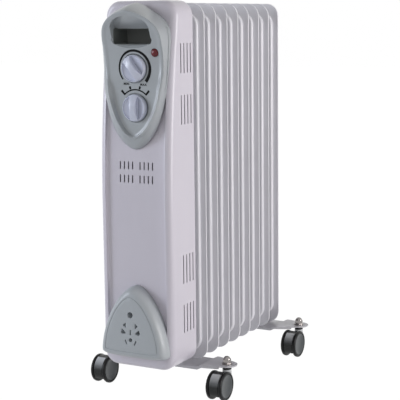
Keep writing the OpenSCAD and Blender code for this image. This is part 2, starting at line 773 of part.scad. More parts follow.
bracket_t = 1.5;
bracket_half_w = screw_x[1] + 8;
bracket_y = fin_y(1) - channel_swell;                   // brackets sit on the outer oil channel
bracket_lap = ring_w / 2 + 4;
module housing_brackets() {
    top = housing_top - housing_sheet;
    bottom = housing_z + housing_sheet;
    // Shelf under the housing's sheet and leg down or up the fin's channel
    module bracket(shelf_z, leg_z0, leg_z1) {
        translate([-bracket_half_w, screw_y - 9, shelf_z])
            cube([2 * bracket_half_w, bracket_y - screw_y + 9, bracket_t]);
        translate([-bracket_half_w, bracket_y - bracket_t, leg_z0])
            cube([2 * bracket_half_w, bracket_t, leg_z1 - leg_z0]);
    }
    color(steel) difference() {
        union() {
            bracket(top - bracket_t, ring_top - bracket_lap, top);
            bracket(bottom, bottom, ring_z + bracket_lap);
        }
        for (x = screw_x) translate([x, screw_y, bottom - 1]) cylinder(h = 4, d = screw_d);
    }
}

module housing_screws() {
    color(steel) for (x = screw_x) translate([x, screw_y, 0]) {
        translate([0, 0, housing_z - 2]) cylinder(h = 2, d = 8);
        translate([0, 0, housing_z - 1]) cylinder(h = 7, d = screw_d - 2 * run_fit);
    }
}

shield_t = 0.8;
shield_slot_x = 40;
shield_slot_h = 34;
shield_slot_rise = 90;
module heat_shield() {
    z0 = housing_z + housing_sheet + bracket_t;
    z1 = housing_top - housing_sheet - bracket_t;
    color(steel) difference() {
        slab(shield_y, shield_y + shield_t) translate([0, (z0 + z1) / 2])
            round_rect(housing_w - 8, z1 - z0, housing_corner - 4);
        rod_y(0, lower_gallery_z, shield_y - 1, shield_y + 2, collar_d + 14);
        for (k = [0, 1]) rod_y(0, cutout_z + cutout_pitch * k, shield_y - 1, shield_y + 2, cutout_d + 4);
        rod_y(0, upper_gallery_z, shield_y - 1, shield_y + 2, 24);
        for (sx = [-1, 1], k = [0:4]) slab(shield_y - 1, shield_y + 2)
            translate([sx * shield_slot_x, cutout_z + shield_slot_rise + 1.5 * shield_slot_h * k])
                slot_2d(5, shield_slot_h);
    }
}

block_z = lower_gallery_z + 60;
block_x = -34;
block_h = 18;
block_d = 12;
way_pitch = 9;
way_d = 5;
module terminal_block() {
    block_w = 3 * way_pitch + 1;
    color([0.9, 0.88, 0.8]) difference() {
        translate([block_x - block_w / 2, shield_y - block_d, block_z])
            cube([block_w, block_d, block_h]);
        for (k = [-1:1], z = [way_d, block_h - way_d])
            rod_y(block_x + way_pitch * k, block_z + z, shield_y - block_d - 1,
                shield_y - block_d / 2, way_d);
    }
}

// A wire laid along straight runs with round elbows
module wire(points) {
    for (k = [0:len(points) - 2]) {
        v = points[k + 1] - points[k];
        run = norm(v);
        translate(points[k]) rotate([0, acos(v[2] / run), atan2(v[1], v[0])])
            cylinder(h = run, d = wire_d);
    }
    for (k = [1:len(points) - 2]) translate(points[k]) sphere(d = wire_d + 0.2);
}

// Wires from the terminal block up to the tabs of the controls and down to the element's pins
wire_d = 2.4;
wire_y = shield_y - 5;
wire_bend = 40;                                         // where wires bend below a control
wire_lane = 10;                                         // and the step between two bends
module wiring_loom() {
    module up(x, bend_z, tab_x, tab_z, tab_y) wire([[x, wire_y, block_z + block_h],
        [x, wire_y, bend_z], [tab_x, wire_y, tab_z - 4], [tab_x, wire_y, tab_z],
        [tab_x, tab_y, tab_z]]);
    color(dark) {
        up(block_x - way_pitch, thermostat_z - wire_bend, bezel_shift - thermostat_w / 4, thermostat_z,
            body_front_y + thermostat_depth + tab_h);
        up(block_x, power_z - wire_bend, bezel_shift - power_w / 4, power_z,
            body_front_y + power_depth + tab_h);
        up(block_x + way_pitch, power_z - wire_bend - 2 * wire_lane, bezel_shift + power_w / 4, power_z,
            body_front_y + power_depth + tab_h);
        for (k = [0, 1]) wire([[block_x + k * way_pitch, wire_y, block_z],
            [block_x + k * way_pitch, wire_y, lower_gallery_z + wire_bend - wire_lane * (k + 0.5)],
            [(2 * k - 1) * hairpin_x, element_front_y - flange_t - pin_reach - wire_d,
                lower_gallery_z + hairpin_z],
            [(2 * k - 1) * hairpin_x, element_front_y - flange_t - pin_reach,
                lower_gallery_z + hairpin_z]]);
    }
}

inlet_x = -housing_w / 2;
module cord_inlet() {
    color(dark) difference() {
        translate([inlet_x, inlet_y, inlet_z]) rotate([0, 90, 0]) {
            translate([0, 0, -3]) cylinder(h = 3, d = inlet_flange_d);
            translate([0, 0, -1]) cylinder(h = 6, d = inlet_body_d);
        }
        translate([inlet_x - 4, inlet_y, inlet_z]) rotate([0, 90, 0]) cylinder(h = 12, d = inlet_bore);
    }
}

// ---- Feet ----------------------------------------------------------------------------------

foot_straight_x = 80;                                   // where a bracket's taper begins
flange_drop = stem_show - 2 * free_gap;                 // edges turn down to just over the wheels

// Half of a bracket seen from above, its longer reach towards +Y
module foot_plan(inset) {
    a = foot_back - inset;
    b = foot_front - inset;
    r = foot_end_r - inset;
    translate([-1, -b]) square([foot_straight_x + 1, a + b]);
    translate([caster_x, 0]) circle(r);
    run = caster_x - foot_straight_x;
    polygon([[foot_straight_x, -b], [foot_straight_x, a],
        [caster_x + r * sin(atan((a - r) / run)), r * cos(atan((a - r) / run))],
        [caster_x + r * sin(atan((b - r) / run)), -r * cos(atan((b - r) / run))]]);
}

// Bent sheet from the side, with its underside lowered by drop
module foot_bend(drop) {
    x1 = fin_w / 2 + 3;
    x2 = x1 + 2 * foot_step;
    rotate([90, 0, 0]) linear_extrude(height = 4 * foot_back, center = true)
        polygon([[-1, foot_mid_z - drop], [x1, foot_mid_z - drop], [x2, foot_end_z - drop],
            [caster_x + 2 * foot_end_r, foot_end_z - drop],
            [caster_x + 2 * foot_end_r, foot_end_z + foot_sheet],
            [x2, foot_end_z + foot_sheet], [x1, foot_mid_z + foot_sheet],
            [-1, foot_mid_z + foot_sheet]]);
}

// Bracket on the line of its stems and clamp; turned = -1 points its longer reach to the front
module foot(stem_y, turned) {
    color(housing_paint) translate([0, stem_y, 0]) difference() {
        for (sx = [0, 1]) mirror([sx, 0, 0]) mirror([0, turned < 0 ? 1 : 0, 0]) {
            intersection() {
                translate([0, 0, foot_mid_z - 1]) linear_extrude(height = foot_step + foot_sheet + 2)
                    foot_plan(0);
                foot_bend(0);
            }
            intersection() {
                translate([0, 0, foot_mid_z - flange_drop])
                    linear_extrude(height = foot_step + foot_sheet + flange_drop)
                        difference() {
                            foot_plan(0);
                            foot_plan(foot_sheet);
                            translate([caster_x - stem_d + 2, -2 * foot_back])
                                square([4 * foot_end_r, 4 * foot_back]);
                        }
                foot_bend(flange_drop);
            }
        }
        for (sx = [-1, 1]) {
            translate([sx * caster_x, 0, foot_mid_z]) cylinder(h = 20, d = stem_d + 2 * run_fit);
            translate([sx * clamp_x, 0, foot_mid_z - 5])
                cylinder(h = 20, d = clamp_d + 2 * free_gap);
        }
    }
}
clamp_x = collar_d / 2 + clamp_d / 2 + 0.1;
module front_foot() foot(front_stem_y, 1);
module rear_foot() foot(rear_stem_y, -1);

nut_h = 6;
clamp_end_z = foot_mid_z - nut_h - 4;
module foot_clamps() {
    color(steel) for (y = [front_stem_y, rear_stem_y]) {
        for (s = [-1, 1]) translate([s * clamp_x, y, clamp_end_z])
            cylinder(h = lower_gallery_z - clamp_end_z, d = clamp_d);
        translate([0, y, lower_gallery_z]) rotate([90, 0, 0]) rotate_extrude(angle = 180)
            translate([clamp_x, 0]) circle(d = clamp_d);
    }
}

module wing_nuts() {
    color(steel) for (y = [front_stem_y, rear_stem_y], s = [-1, 1])
        translate([s * clamp_x, y, foot_mid_z - nut_h]) difference() {
            union() {
                cylinder(h = nut_h, d = 10);
                intersection() {
                    translate([-13, -1, -5]) cube([26, 2, 11 - tiny]);
                    for (t = [-1, 1]) translate([t * 8, 2, -0.5]) rotate([90, 0, 0])
                        cylinder(h = 4, d = 9.5);
                }
            }
            translate([0, 0, -8]) cylinder(h = 20, d = clamp_d + 2 * run_fit);
        }
}

// ---- Casters -------------------------------------------------------------------------------

stem_places = [[-1, front_stem_y], [1, front_stem_y], [-1, rear_stem_y], [1, rear_stem_y]];
module at_stems() for (s = stem_places) translate([s[0] * caster_x, s[1], 0]) children();

washer_t = 1.6;
hex_af = 13;
socket_z = 24;                                          // bottom of the stem in its socket
foot_end_top = foot_end_z + foot_sheet;

module caster_stems() {
    color(dark) at_stems() {
        translate([0, 0, socket_z + 0.5]) cylinder(h = foot_end_top + 10 - socket_z, d = stem_d);
        translate([0, 0, wheel_d + free_gap]) cylinder(h = stem_show - free_gap, d = stem_d + 5);
    }
}

module stem_washers() {
    color(steel) at_stems() translate([0, 0, foot_end_top]) difference() {
        cylinder(h = washer_t, d = 17);
        translate([0, 0, -1]) cylinder(h = 4, d = stem_d + 2 * run_fit);
    }
}

module cap_nuts() {
    hex_d = hex_af / cos(30);
    hex_h = 6.5;
    color(steel) at_stems() translate([0, 0, foot_end_top + washer_t]) difference() {
        union() {
            cylinder(h = hex_h, d = hex_d, $fn = 6);
            intersection() {
                translate([0, 0, hex_h - 1]) sphere(d = hex_af - 0.6);
                translate([-10, -10, 1]) cube(20);
            }
        }
        translate([0, 0, -1]) cylinder(h = 10, d = stem_d + 2 * run_fit);
    }
}

hood_half_w = caster_w / 2 - tread_w - free_gap;
hood_r = wheel_r - 1;
axle_half = caster_w / 2 - 4;
hub_in = 2;                                             // inner face of a wheel's hub
hub_r = 15;

// Places a caster's own frame: stem axis at x = y = 0, wheels towards -Y
module at_caster(side, stem_y) translate([side * caster_x, stem_y, 0]) children();

// Hood: a shell over the wheels between the treads, a middle web and the stem socket
module hood() {
    color([0.25, 0.26, 0.27]) difference() {
        union() {
            translate([-hood_half_w, -trail, wheel_r]) rotate([0, 90, 0]) difference() {
                cylinder(h = 2 * hood_half_w, r = hood_r);
                translate([0, 0, -1]) cylinder(h = 2 * hood_half_w + 2, r = hood_r - hood_wall);
                // The shell ends below the axle in front and at the socket behind
                translate([hood_r * 0.62, -hood_r - 1, -1]) cube([hood_r, 2 * hood_r + 2, caster_w]);
                translate([-4, 0, -1]) cube([hood_r * 2, hood_r + 2, caster_w]);
            }
            intersection() {
                translate([-1.2, -trail, wheel_r]) rotate([0, 90, 0]) cylinder(h = 2.4, r = hood_r - 1);
                translate([-5, -trail - 40, wheel_r - 4]) cube([10, 80, 60]);
            }
            translate([0, 0, socket_z - 2]) cylinder(h = wheel_d - socket_z + 2, d = 2 * hood_half_w - 0.4);
            translate([-1.2, -trail, wheel_r - 4]) cube([2.4, trail, hood_r]);
            translate([-hub_in + free_gap, -trail, wheel_r]) rotate([0, 90, 0])
                cylinder(h = 2 * (hub_in - free_gap), r = 6);
        }
        translate([0, 0, socket_z]) cylinder(h = 60, d = stem_d + 2 * run_fit);
        translate([-10, -trail, wheel_r]) rotate([0, 90, 0])
            cylinder(h = 20, d = axle_d + 2 * run_fit);
    }
}

module axle() {
    color(steel) translate([-axle_half, -trail, wheel_r]) rotate([0, 90, 0])
        cylinder(h = 2 * axle_half, d = axle_d);
}

// Section of a wheel: radius along x, distance from the caster's middle along y
module wheel_section() {
    out = caster_w / 2;
    edge = 2.2;
    difference() {
        union() {
            translate([0, hub_in]) square([hub_r, out - tread_w - hub_in + 1]);
            translate([0, out - tread_w]) square([wheel_r - edge, tread_w]);
            translate([0, out - tread_w + edge]) square([wheel_r, tread_w - 2 * edge]);
            for (y = [out - tread_w + edge, out - edge]) translate([wheel_r - edge, y]) circle(edge);
        }
        // Dished outer face with a low dome in its middle
        translate([0, out - 1.6]) square([17.5, 3]);
        translate([11, out - 2.4]) square([5, 3]);
        translate([0, hub_in - 1]) square([axle_d / 2 + run_fit, axle_half + free_gap - hub_in + 1]);
    }
}

module wheel(side) {
    color(dark) translate([0, -trail, wheel_r]) rotate([0, side * 90, 0])
        rotate_extrude() wheel_section();
}

module hood_fr() at_caster(1, front_stem_y) hood();
module axle_fr() at_caster(1, front_stem_y) axle();
module wheel_fr_left() at_caster(1, front_stem_y) wheel(-1);
module wheel_fr_right() at_caster(1, front_stem_y) wheel(1);
module hood_fl() at_caster(-1, front_stem_y) hood();
module axle_fl() at_caster(-1, front_stem_y) axle();
module wheel_fl_left() at_caster(-1, front_stem_y) wheel(-1);
module wheel_fl_right() at_caster(-1, front_stem_y) wheel(1);
module hood_rr() at_caster(1, rear_stem_y) hood();
module axle_rr() at_caster(1, rear_stem_y) axle();
module wheel_rr_left() at_caster(1, rear_stem_y) wheel(-1);
module wheel_rr_right() at_caster(1, rear_stem_y) wheel(1);
module hood_rl() at_caster(-1, rear_stem_y) hood();
module axle_rl() at_caster(-1, rear_stem_y) axle();
module wheel_rl_left() at_caster(-1, rear_stem_y) wheel(-1);
module wheel_rl_right() at_caster(-1, rear_stem_y) wheel(1);

// ---- Drawing -------------------------------------------------------------------------------

fin(1);  // fin_1
fin(2);  // fin_2
fin(3);  // fin_3
fin(4);  // fin_4
fin(5);  // fin_5
fin(6);  // fin_6
fin(7);  // fin_7
fin(8);  // fin_8
fin(9);  // fin_9
upper_collars();
lower_collars();
gallery_plugs();
heating_element();
element_flange();
thermal_cutouts();
heat_shield();
housing_brackets();
housing_screws();
front_housing();
bezel();
grip_pocket();
plug_cover();
thermostat();
power_switch();
lamp_holder();
lamp_lens();
terminal_block();
wiring_loom();
cord_inlet();
front_foot();
rear_foot();
foot_clamps();
wing_nuts();
caster_stems();
cap_nuts();
stem_washers();
thermostat_knob();
thermostat_spindle();
power_knob();
power_spindle();
hood_fr();
axle_fr();
wheel_fr_left();
wheel_fr_right();
hood_fl();
axle_fl();
wheel_fl_left();
wheel_fl_right();
hood_rr();
axle_rr();
wheel_rr_left();
wheel_rr_right();
hood_rl();
axle_rl();
wheel_rl_left();
wheel_rl_right();
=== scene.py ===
# Oil filled radiator heater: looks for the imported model, in metres.
import json
import math

import bmesh
import bpy
from mathutils import Matrix, Vector


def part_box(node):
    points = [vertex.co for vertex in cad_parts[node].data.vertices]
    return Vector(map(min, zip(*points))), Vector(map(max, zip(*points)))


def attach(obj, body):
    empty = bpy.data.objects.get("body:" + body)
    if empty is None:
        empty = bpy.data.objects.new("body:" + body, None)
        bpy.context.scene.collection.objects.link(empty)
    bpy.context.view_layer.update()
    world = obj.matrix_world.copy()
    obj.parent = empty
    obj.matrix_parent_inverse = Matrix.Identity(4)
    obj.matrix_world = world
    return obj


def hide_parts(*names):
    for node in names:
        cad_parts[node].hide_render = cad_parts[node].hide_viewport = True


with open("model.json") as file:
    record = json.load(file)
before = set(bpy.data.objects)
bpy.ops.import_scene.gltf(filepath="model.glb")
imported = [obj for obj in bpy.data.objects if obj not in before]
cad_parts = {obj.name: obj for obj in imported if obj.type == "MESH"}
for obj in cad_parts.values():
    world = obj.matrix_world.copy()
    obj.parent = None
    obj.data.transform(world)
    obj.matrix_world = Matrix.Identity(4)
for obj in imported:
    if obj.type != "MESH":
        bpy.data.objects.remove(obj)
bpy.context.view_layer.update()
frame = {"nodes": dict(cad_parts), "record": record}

MM = 0.001


# ---- Working in edit mode --------------------------------------------------------------------

def let_go():
    """Back to object mode with nothing selected."""
    if bpy.context.object and bpy.context.object.mode != "OBJECT":
        bpy.ops.object.mode_set(mode="OBJECT")
    bpy.ops.object.select_all(action="DESELECT")


def take(piece):
    """Makes a piece the only one selected."""
    let_go()
    piece.select_set(True)
    bpy.context.view_layer.objects.active = piece


def edit(piece):
    """Into edit mode with nothing of the piece selected."""
    take(piece)
    bpy.ops.object.mode_set(mode="EDIT")
    bpy.ops.mesh.select_all(action="DESELECT")


def choose(piece, verts=None, edges=None, faces=None):
    """Selects, in edit mode, what passes the given test."""
    bpy.ops.mesh.select_mode(type="VERT" if verts else "EDGE" if edges else "FACE")
    bpy.ops.mesh.select_all(action="DESELECT")
    mesh = bmesh.from_edit_mesh(piece.data)
    test = verts or edges or faces
    for part in mesh.verts if verts else mesh.edges if edges else mesh.faces:
        if test(part):
            part.select_set(True)
    mesh.select_flush_mode()
    bmesh.update_edit_mesh(piece.data)


def place_selected(piece, where):
    """Moves each selected vertex to where(co) puts it."""
    mesh = bmesh.from_edit_mesh(piece.data)
    for v in mesh.verts:
        if v.select:
            v.co = where(v.co)
    bmesh.update_edit_mesh(piece.data)


def slice_off(piece, place, outward):
    """Cuts off what lies past a plane and closes the cut; the piece stays in edit mode."""
    edit(piece)
    bpy.ops.mesh.select_all(action="SELECT")
    bpy.ops.mesh.bisect(plane_co=MM * Vector(place), plane_no=outward, use_fill=True,
                        clear_outer=True)


def finish_edit():
    """Merges doubled points, turns the faces outwards and leaves edit mode."""
    bpy.ops.mesh.select_all(action="SELECT")
    bpy.ops.mesh.remove_doubles(threshold=0.01 * MM)
    bpy.ops.mesh.normals_make_consistent(inside=False)
    bpy.ops.object.mode_set(mode="OBJECT")


def rest_in_place(piece):
    """Puts the piece's place and turn into its mesh."""
    take(piece)
    bpy.ops.object.transform_apply(location=True, rotation=True, scale=True)


def modify(piece, kind, **settings):
    """Adds a modifier and applies it."""
    take(piece)
    m = piece.modifiers.new(kind.title(), kind)
    for key, value in settings.items():
        setattr(m, key, value)
    bpy.ops.object.modifier_apply(modifier=m.name)


def smooth(piece, angle=35):
    take(piece)
    bpy.ops.object.shade_smooth_by_angle(angle=math.radians(angle))


def name_it(piece, name):
    piece.name = name
    piece.data.name = name
    return piece


def copy_of(piece, name):
    twin = piece.copy()
    twin.data = piece.data.copy()
    bpy.context.collection.objects.link(twin)
    return name_it(twin, name)


# ---- Materials -------------------------------------------------------------------------------

MIX_A, MIX_B, MIX_RESULT = 6, 7, 2          # the colour sockets of a Mix node


def shade(r, g, b):
    """A paint colour given as it is seen, 0 to 255, made linear."""
    def lin(c):
        c /= 255
        return c / 12.92 if c <= 0.04045 else ((c + 0.055) / 1.055) ** 2.4
    return (lin(r), lin(g), lin(b), 1)


def effect(name, inputs, outputs):
    """An empty shader group with its sockets, and its input and output nodes."""
    group = bpy.data.node_groups.new(name, "ShaderNodeTree")
    for label, kind, value in inputs:
        s = group.interface.new_socket(label, in_out="INPUT", socket_type=kind)
        if value is not None:
            s.default_value = value
    for label, kind in outputs:
        group.interface.new_socket(label, in_out="OUTPUT", socket_type=kind)
    return group, group.nodes.new("NodeGroupInput"), group.nodes.new("NodeGroupOutput")


def grain_effect():
    """Fine surface grain: a height for bump and a mask that varies the gloss."""
    group, gi, go = effect("surface_grain",
        [("Vector", "NodeSocketVector", None), ("Size", "NodeSocketFloat", 400.0),
         ("Depth", "NodeSocketFloat", 0.2)],
        [("Height", "NodeSocketFloat"), ("Mask", "NodeSocketFloat")])
    n, l = group.nodes, group.links
    fine = n.new("ShaderNodeTexNoise")
    fine.inputs["Detail"].default_value = 3
    fine.inputs["Roughness"].default_value = 0.6
    l.new(gi.outputs["Vector"], fine.inputs["Vector"])
    l.new(gi.outputs["Size"], fine.inputs["Scale"])
    deep = n.new("ShaderNodeMath")
    deep.operation = "MULTIPLY"
    l.new(fine.outputs["Fac"], deep.inputs[0])
    l.new(gi.outputs["Depth"], deep.inputs[1])
    l.new(deep.outputs[0], go.inputs["Height"])
    l.new(fine.outputs["Fac"], go.inputs["Mask"])
    return group


def cloud_effect():
    """Slow, faint drift of tone over a painted or moulded surface."""
    group, gi, go = effect("tone_drift",
        [("Vector", "NodeSocketVector", None), ("Colour", "NodeSocketColor", (0.5, 0.5, 0.5, 1)),
         ("Shade", "NodeSocketColor", (0.4, 0.4, 0.4, 1)), ("Size", "NodeSocketFloat", 9.0),
         ("Amount", "NodeSocketFloat", 0.4)],
        [("Colour", "NodeSocketColor"), ("Mask", "NodeSocketFloat")])
    n, l = group.nodes, group.links
    cloud = n.new("ShaderNodeTexNoise")
    cloud.inputs["Detail"].default_value = 4
    l.new(gi.outputs["Vector"], cloud.inputs["Vector"])
    l.new(gi.outputs["Size"], cloud.inputs["Scale"])
    ramp = n.new("ShaderNodeMapRange")
    ramp.inputs["From Min"].default_value = 0.38
    ramp.inputs["From Max"].default_value = 0.66
    l.new(cloud.outputs["Fac"], ramp.inputs["Value"])
    amount = n.new("ShaderNodeMath")
    amount.operation = "MULTIPLY"
    l.new(ramp.outputs[0], amount.inputs[0])
    l.new(gi.outputs["Amount"], amount.inputs[1])
    mix = n.new("ShaderNodeMix")
    mix.data_type = "RGBA"
    l.new(amount.outputs[0], mix.inputs["Factor"])
    l.new(gi.outputs["Colour"], mix.inputs[MIX_A])
    l.new(gi.outputs["Shade"], mix.inputs[MIX_B])
    l.new(mix.outputs[MIX_RESULT], go.inputs["Colour"])
    l.new(amount.outputs[0], go.inputs["Mask"])
    return group


GRAIN = grain_effect()
CLOUD = cloud_effect()


def finish_material(name, colour, shadow, rough, grain_size, grain_depth, bump=0.1,
                    rough_swing=0.05, cloud_size=9.0, cloud_amount=0.5, coat=0.0,
                    coat_rough=0.1, specular=0.5):
    """A surface with drifting tone, fine grain and a gloss that varies with the grain."""
    m = bpy.data.materials.new(name)
    m.use_nodes = True
    n, l = m.node_tree.nodes, m.node_tree.links
    bsdf = n["Principled BSDF"]
    coords = n.new("ShaderNodeTexCoord")
    cloud = n.new("ShaderNodeGroup")
    cloud.node_tree = CLOUD
    cloud.inputs["Colour"].default_value = colour
    cloud.inputs["Shade"].default_value = shadow
    cloud.inputs["Size"].default_value = cloud_size
    cloud.inputs["Amount"].default_value = cloud_amount
    grain = n.new("ShaderNodeGroup")
    grain.node_tree = GRAIN
    grain.inputs["Size"].default_value = grain_size
    grain.inputs["Depth"].default_value = grain_depth
    l.new(coords.outputs["Object"], cloud.inputs["Vector"])
    l.new(coords.outputs["Object"], grain.inputs["Vector"])
    l.new(cloud.outputs["Colour"], bsdf.inputs["Base Color"])
    gloss = n.new("ShaderNodeMapRange")
    gloss.inputs["To Min"].default_value = rough - rough_swing
    gloss.inputs["To Max"].default_value = rough + rough_swing
    l.new(grain.outputs["Mask"], gloss.inputs["Value"])
    l.new(gloss.outputs[0], bsdf.inputs["Roughness"])
    relief = n.new("ShaderNodeBump")
    relief.inputs["Strength"].default_value = bump
    relief.inputs["Distance"].default_value = 0.5 * MM
    l.new(grain.outputs["Height"], relief.inputs["Height"])
    l.new(relief.outputs["Normal"], bsdf.inputs["Normal"])
    bsdf.inputs["Coat Weight"].default_value = coat
    bsdf.inputs["Coat Roughness"].default_value = coat_rough
    bsdf.inputs["Specular IOR Level"].default_value = specular
    return m


def painted_reflection_by_height(m, low, high, stops):
    """Painted reflection and shade: grey that changes with height from low to high, in mm: pairs
    of share and grey.
    """
    n, l = m.node_tree.nodes, m.node_tree.links
    coords = n.new("ShaderNodeTexCoord")
    split = n.new("ShaderNodeSeparateXYZ")
    l.new(coords.outputs["Object"], split.inputs[0])
    share = n.new("ShaderNodeMapRange")
    share.inputs["From Min"].default_value = low * MM
    share.inputs["From Max"].default_value = high * MM
    l.new(split.outputs["Z"], share.inputs["Value"])
    ramp = n.new("ShaderNodeValToRGB")
    while len(ramp.color_ramp.elements) < len(stops):
        ramp.color_ramp.elements.new(0.5)
    for stop, (place, grey) in zip(ramp.color_ramp.elements, stops):
        stop.position = place
        stop.color = shade(grey, grey + 2, grey + 3)
    l.new(share.outputs[0], ramp.inputs["Fac"])
    cloud = next(node for node in n if node.type == "GROUP" and node.node_tree == CLOUD)
    # The painted reflection takes the place of both tones of the plain colour
    for label in ("Colour", "Shade"):
        l.new(ramp.outputs["Color"], cloud.inputs[label])


def brushed_metal(name, colour, rough, streaks=(1, 1, 30), scale=220.0):
    """Metal whose gloss runs in fine streaks."""
    m = bpy.data.materials.new(name)
    m.use_nodes = True
    n, l = m.node_tree.nodes, m.node_tree.links
    bsdf = n["Principled BSDF"]
    coords = n.new("ShaderNodeTexCoord")
    stretch = n.new("ShaderNodeMapping")
    stretch.inputs["Scale"].default_value = streaks
    lines = n.new("ShaderNodeTexNoise")
    lines.inputs["Scale"].default_value = scale
    lines.inputs["Detail"].default_value = 2
    l.new(coords.outputs["Object"], stretch.inputs["Vector"])
    l.new(stretch.outputs[0], lines.inputs["Vector"])
    gloss = n.new("ShaderNodeMapRange")
    gloss.inputs["To Min"].default_value = rough * 0.7
    gloss.inputs["To Max"].default_value = rough * 1.4
    l.new(lines.outputs["Fac"], gloss.inputs["Value"])
    l.new(gloss.outputs[0], bsdf.inputs["Roughness"])
    tone = n.new("ShaderNodeMix")
    tone.data_type = "RGBA"
    tone.inputs[MIX_A].default_value = colour
    tone.inputs[MIX_B].default_value = tuple(c * 0.8 for c in colour[:3]) + (1,)
    l.new(lines.outputs["Fac"], tone.inputs["Factor"])
    l.new(tone.outputs[MIX_RESULT], bsdf.inputs["Base Color"])
    bsdf.inputs["Metallic"].default_value = 1.0
    return m


PAINT = dict(grain_size=900, grain_depth=0.25, bump=0.12)
MOULDED = dict(grain_size=1500, grain_depth=0.6)
POLISHED = dict(grain_size=1200, grain_depth=0.3)

housing_enamel = finish_material(
    "housing_enamel", shade(216, 211, 220), shade(211, 206, 216), 0.34,
    cloud_size=5, coat=0.25, coat_rough=0.2, **PAINT)
fin_enamel = finish_material(
    "fin_enamel", shade(243, 242, 246), shade(239, 238, 243), 0.36,
    cloud_size=6, coat=0.25, coat_rough=0.22, **PAINT)
bracket_enamel = finish_material(
    "bracket_enamel", shade(210, 209, 213), shade(202, 201, 206), 0.38,
    coat=0.2, coat_rough=0.25, **PAINT)
bezel_plastic = finish_material(
    "bezel_plastic", shade(172, 177, 180), shade(167, 172, 175), 0.34,
    bump=0.16, rough_swing=0.06, cloud_size=12, coat=0.3, coat_rough=0.16, **MOULDED)
# The bezel's own plastic, painted lighter on the cover to stand in for the light falling on it
cover_painted_lighter = finish_material(
    "cover_painted_lighter", shade(184, 189, 192), shade(179, 184, 187), 0.34,
    bump=0.22, rough_swing=0.06, cloud_size=12, **MOULDED)
pocket_plastic = finish_material(
    "pocket_plastic", shade(100, 103, 101), shade(92, 95, 93), 0.5, bump=0.25, **MOULDED)
knob_plastic = finish_material(
    "knob_plastic", shade(209, 213, 228), shade(204, 208, 224), 0.3,
    bump=0.08, coat=0.3, coat_rough=0.15, **POLISHED)
lens_red = finish_material(
    "lens_red", shade(112, 12, 26), shade(74, 6, 14), 0.12, grain_size=700, grain_depth=0.2,
    bump=0.05, cloud_size=160, cloud_amount=0.8, coat=0.1, coat_rough=0.05, specular=0.3)
black_plastic = finish_material(
    "black_plastic", shade(40, 40, 42), shade(34, 34, 36), 0.4,
    grain_size=1200, grain_depth=0.5, bump=0.15)
ivory_plastic = finish_material(
    "ivory_plastic", shade(222, 218, 204), shade(212, 208, 192), 0.45,
    grain_size=1200, grain_depth=0.4, bump=0.12)
tyre_black = finish_material(
    "tyre_black", shade(17, 17, 18), shade(13, 13, 14), 0.34,
    grain_size=1400, grain_depth=0.5, bump=0.15, specular=0.2)
disc_grey = finish_material(
    "disc_grey", shade(76, 80, 82), shade(68, 72, 74), 0.3,
    bump=0.06, specular=0.35, **POLISHED)
hood_painted_reflection = finish_material(
    "hood_painted_reflection", shade(72, 75, 77), shade(60, 63, 65), 0.24,
    grain_size=1200, grain_depth=0.25, bump=0.05, specular=0.3)
painted_reflection_by_height(hood_painted_reflection, 0, 46, (                # painted reflection and shade: the hoods' dark plastic is pale high up, fades dark below, with a dark band along the top
    (0, 0), (0.36, 2), (0.56, 34), (0.7, 112), (0.8, 170), (0.945, 226), (0.96, 6)))
brass_metal = brushed_metal("brass_metal", shade(206, 176, 112), 0.3)
zinc_metal = brushed_metal("zinc_metal", shade(190, 191, 196), 0.34)
chrome_metal = brushed_metal("chrome_metal", shade(150, 146, 144), 0.14, streaks=(1, 1, 1),
                             scale=300)
print_black = finish_material(
    "print_black", shade(18, 19, 20), shade(14, 15, 16), 0.5,
    grain_size=1500, grain_depth=0.3, bump=0.05, specular=0.1)
stem_black = finish_material(
    "stem_black", shade(14, 14, 15), shade(11, 11, 12), 0.35,
    grain_size=900, grain_depth=0.3, specular=0.2)

finish_of_slot = {
    "housing_enamel": housing_enamel, "fin_enamel": fin_enamel, "bracket_enamel": bracket_enamel,
    "bezel_plastic": bezel_plastic, "pocket_plastic": pocket_plastic, "knob_plastic": knob_plastic,
    "lamp_red": lens_red, "ivory_plastic": ivory_plastic, "black_plastic": black_plastic,
    "brass": brass_metal, "hood_plastic": hood_painted_reflection, "wheel_plastic": tyre_black,
    "stem_black": stem_black, "chrome": chrome_metal, "zinc_steel": zinc_metal,
}
slot_of_node = {s["node"]: s["material_slot"] for s in frame["record"]["subparts"]}
for node_name, node_object in frame["nodes"].items():
    node_object.data.materials.clear()
    node_object.data.materials.append(finish_of_slot[slot_of_node[node_name]])


# ---- Rings, outlines and cutters -------------------------------------------------------------

def loft(name, rings, close_first=True, close_last=True):
    """A loop extruded ring by ring; every ring has as many points as the first."""
    let_go()
    bpy.ops.mesh.primitive_circle_add(vertices=len(rings[0]), radius=1, fill_type="NOTHING")
    piece = name_it(bpy.context.object, name)
    bpy.ops.object.mode_set(mode="EDIT")
    mesh = bmesh.from_edit_mesh(piece.data)
    for v, point in zip(mesh.verts, rings[0]):
        v.co = point
    bmesh.update_edit_mesh(piece.data)
    bpy.ops.mesh.select_mode(type="EDGE")
    bpy.ops.mesh.select_all(action="SELECT")
    for points in rings[1:]:
        bpy.ops.mesh.extrude_edges_move()
        bpy.ops.mesh.select_mode(type="VERT")
        mesh = bmesh.from_edit_mesh(piece.data)
        # Extruding keeps the order round the loop
        for v, point in zip([v for v in mesh.verts if v.select], points):
            v.co = point
        bmesh.update_edit_mesh(piece.data)
        bpy.ops.mesh.select_mode(type="EDGE")
    if close_last:
        bpy.ops.mesh.edge_face_add()
    if close_first:
        choose(piece, edges=lambda e: len(e.link_faces) == 1)
        bpy.ops.mesh.edge_face_add()
    finish_edit()
    return piece


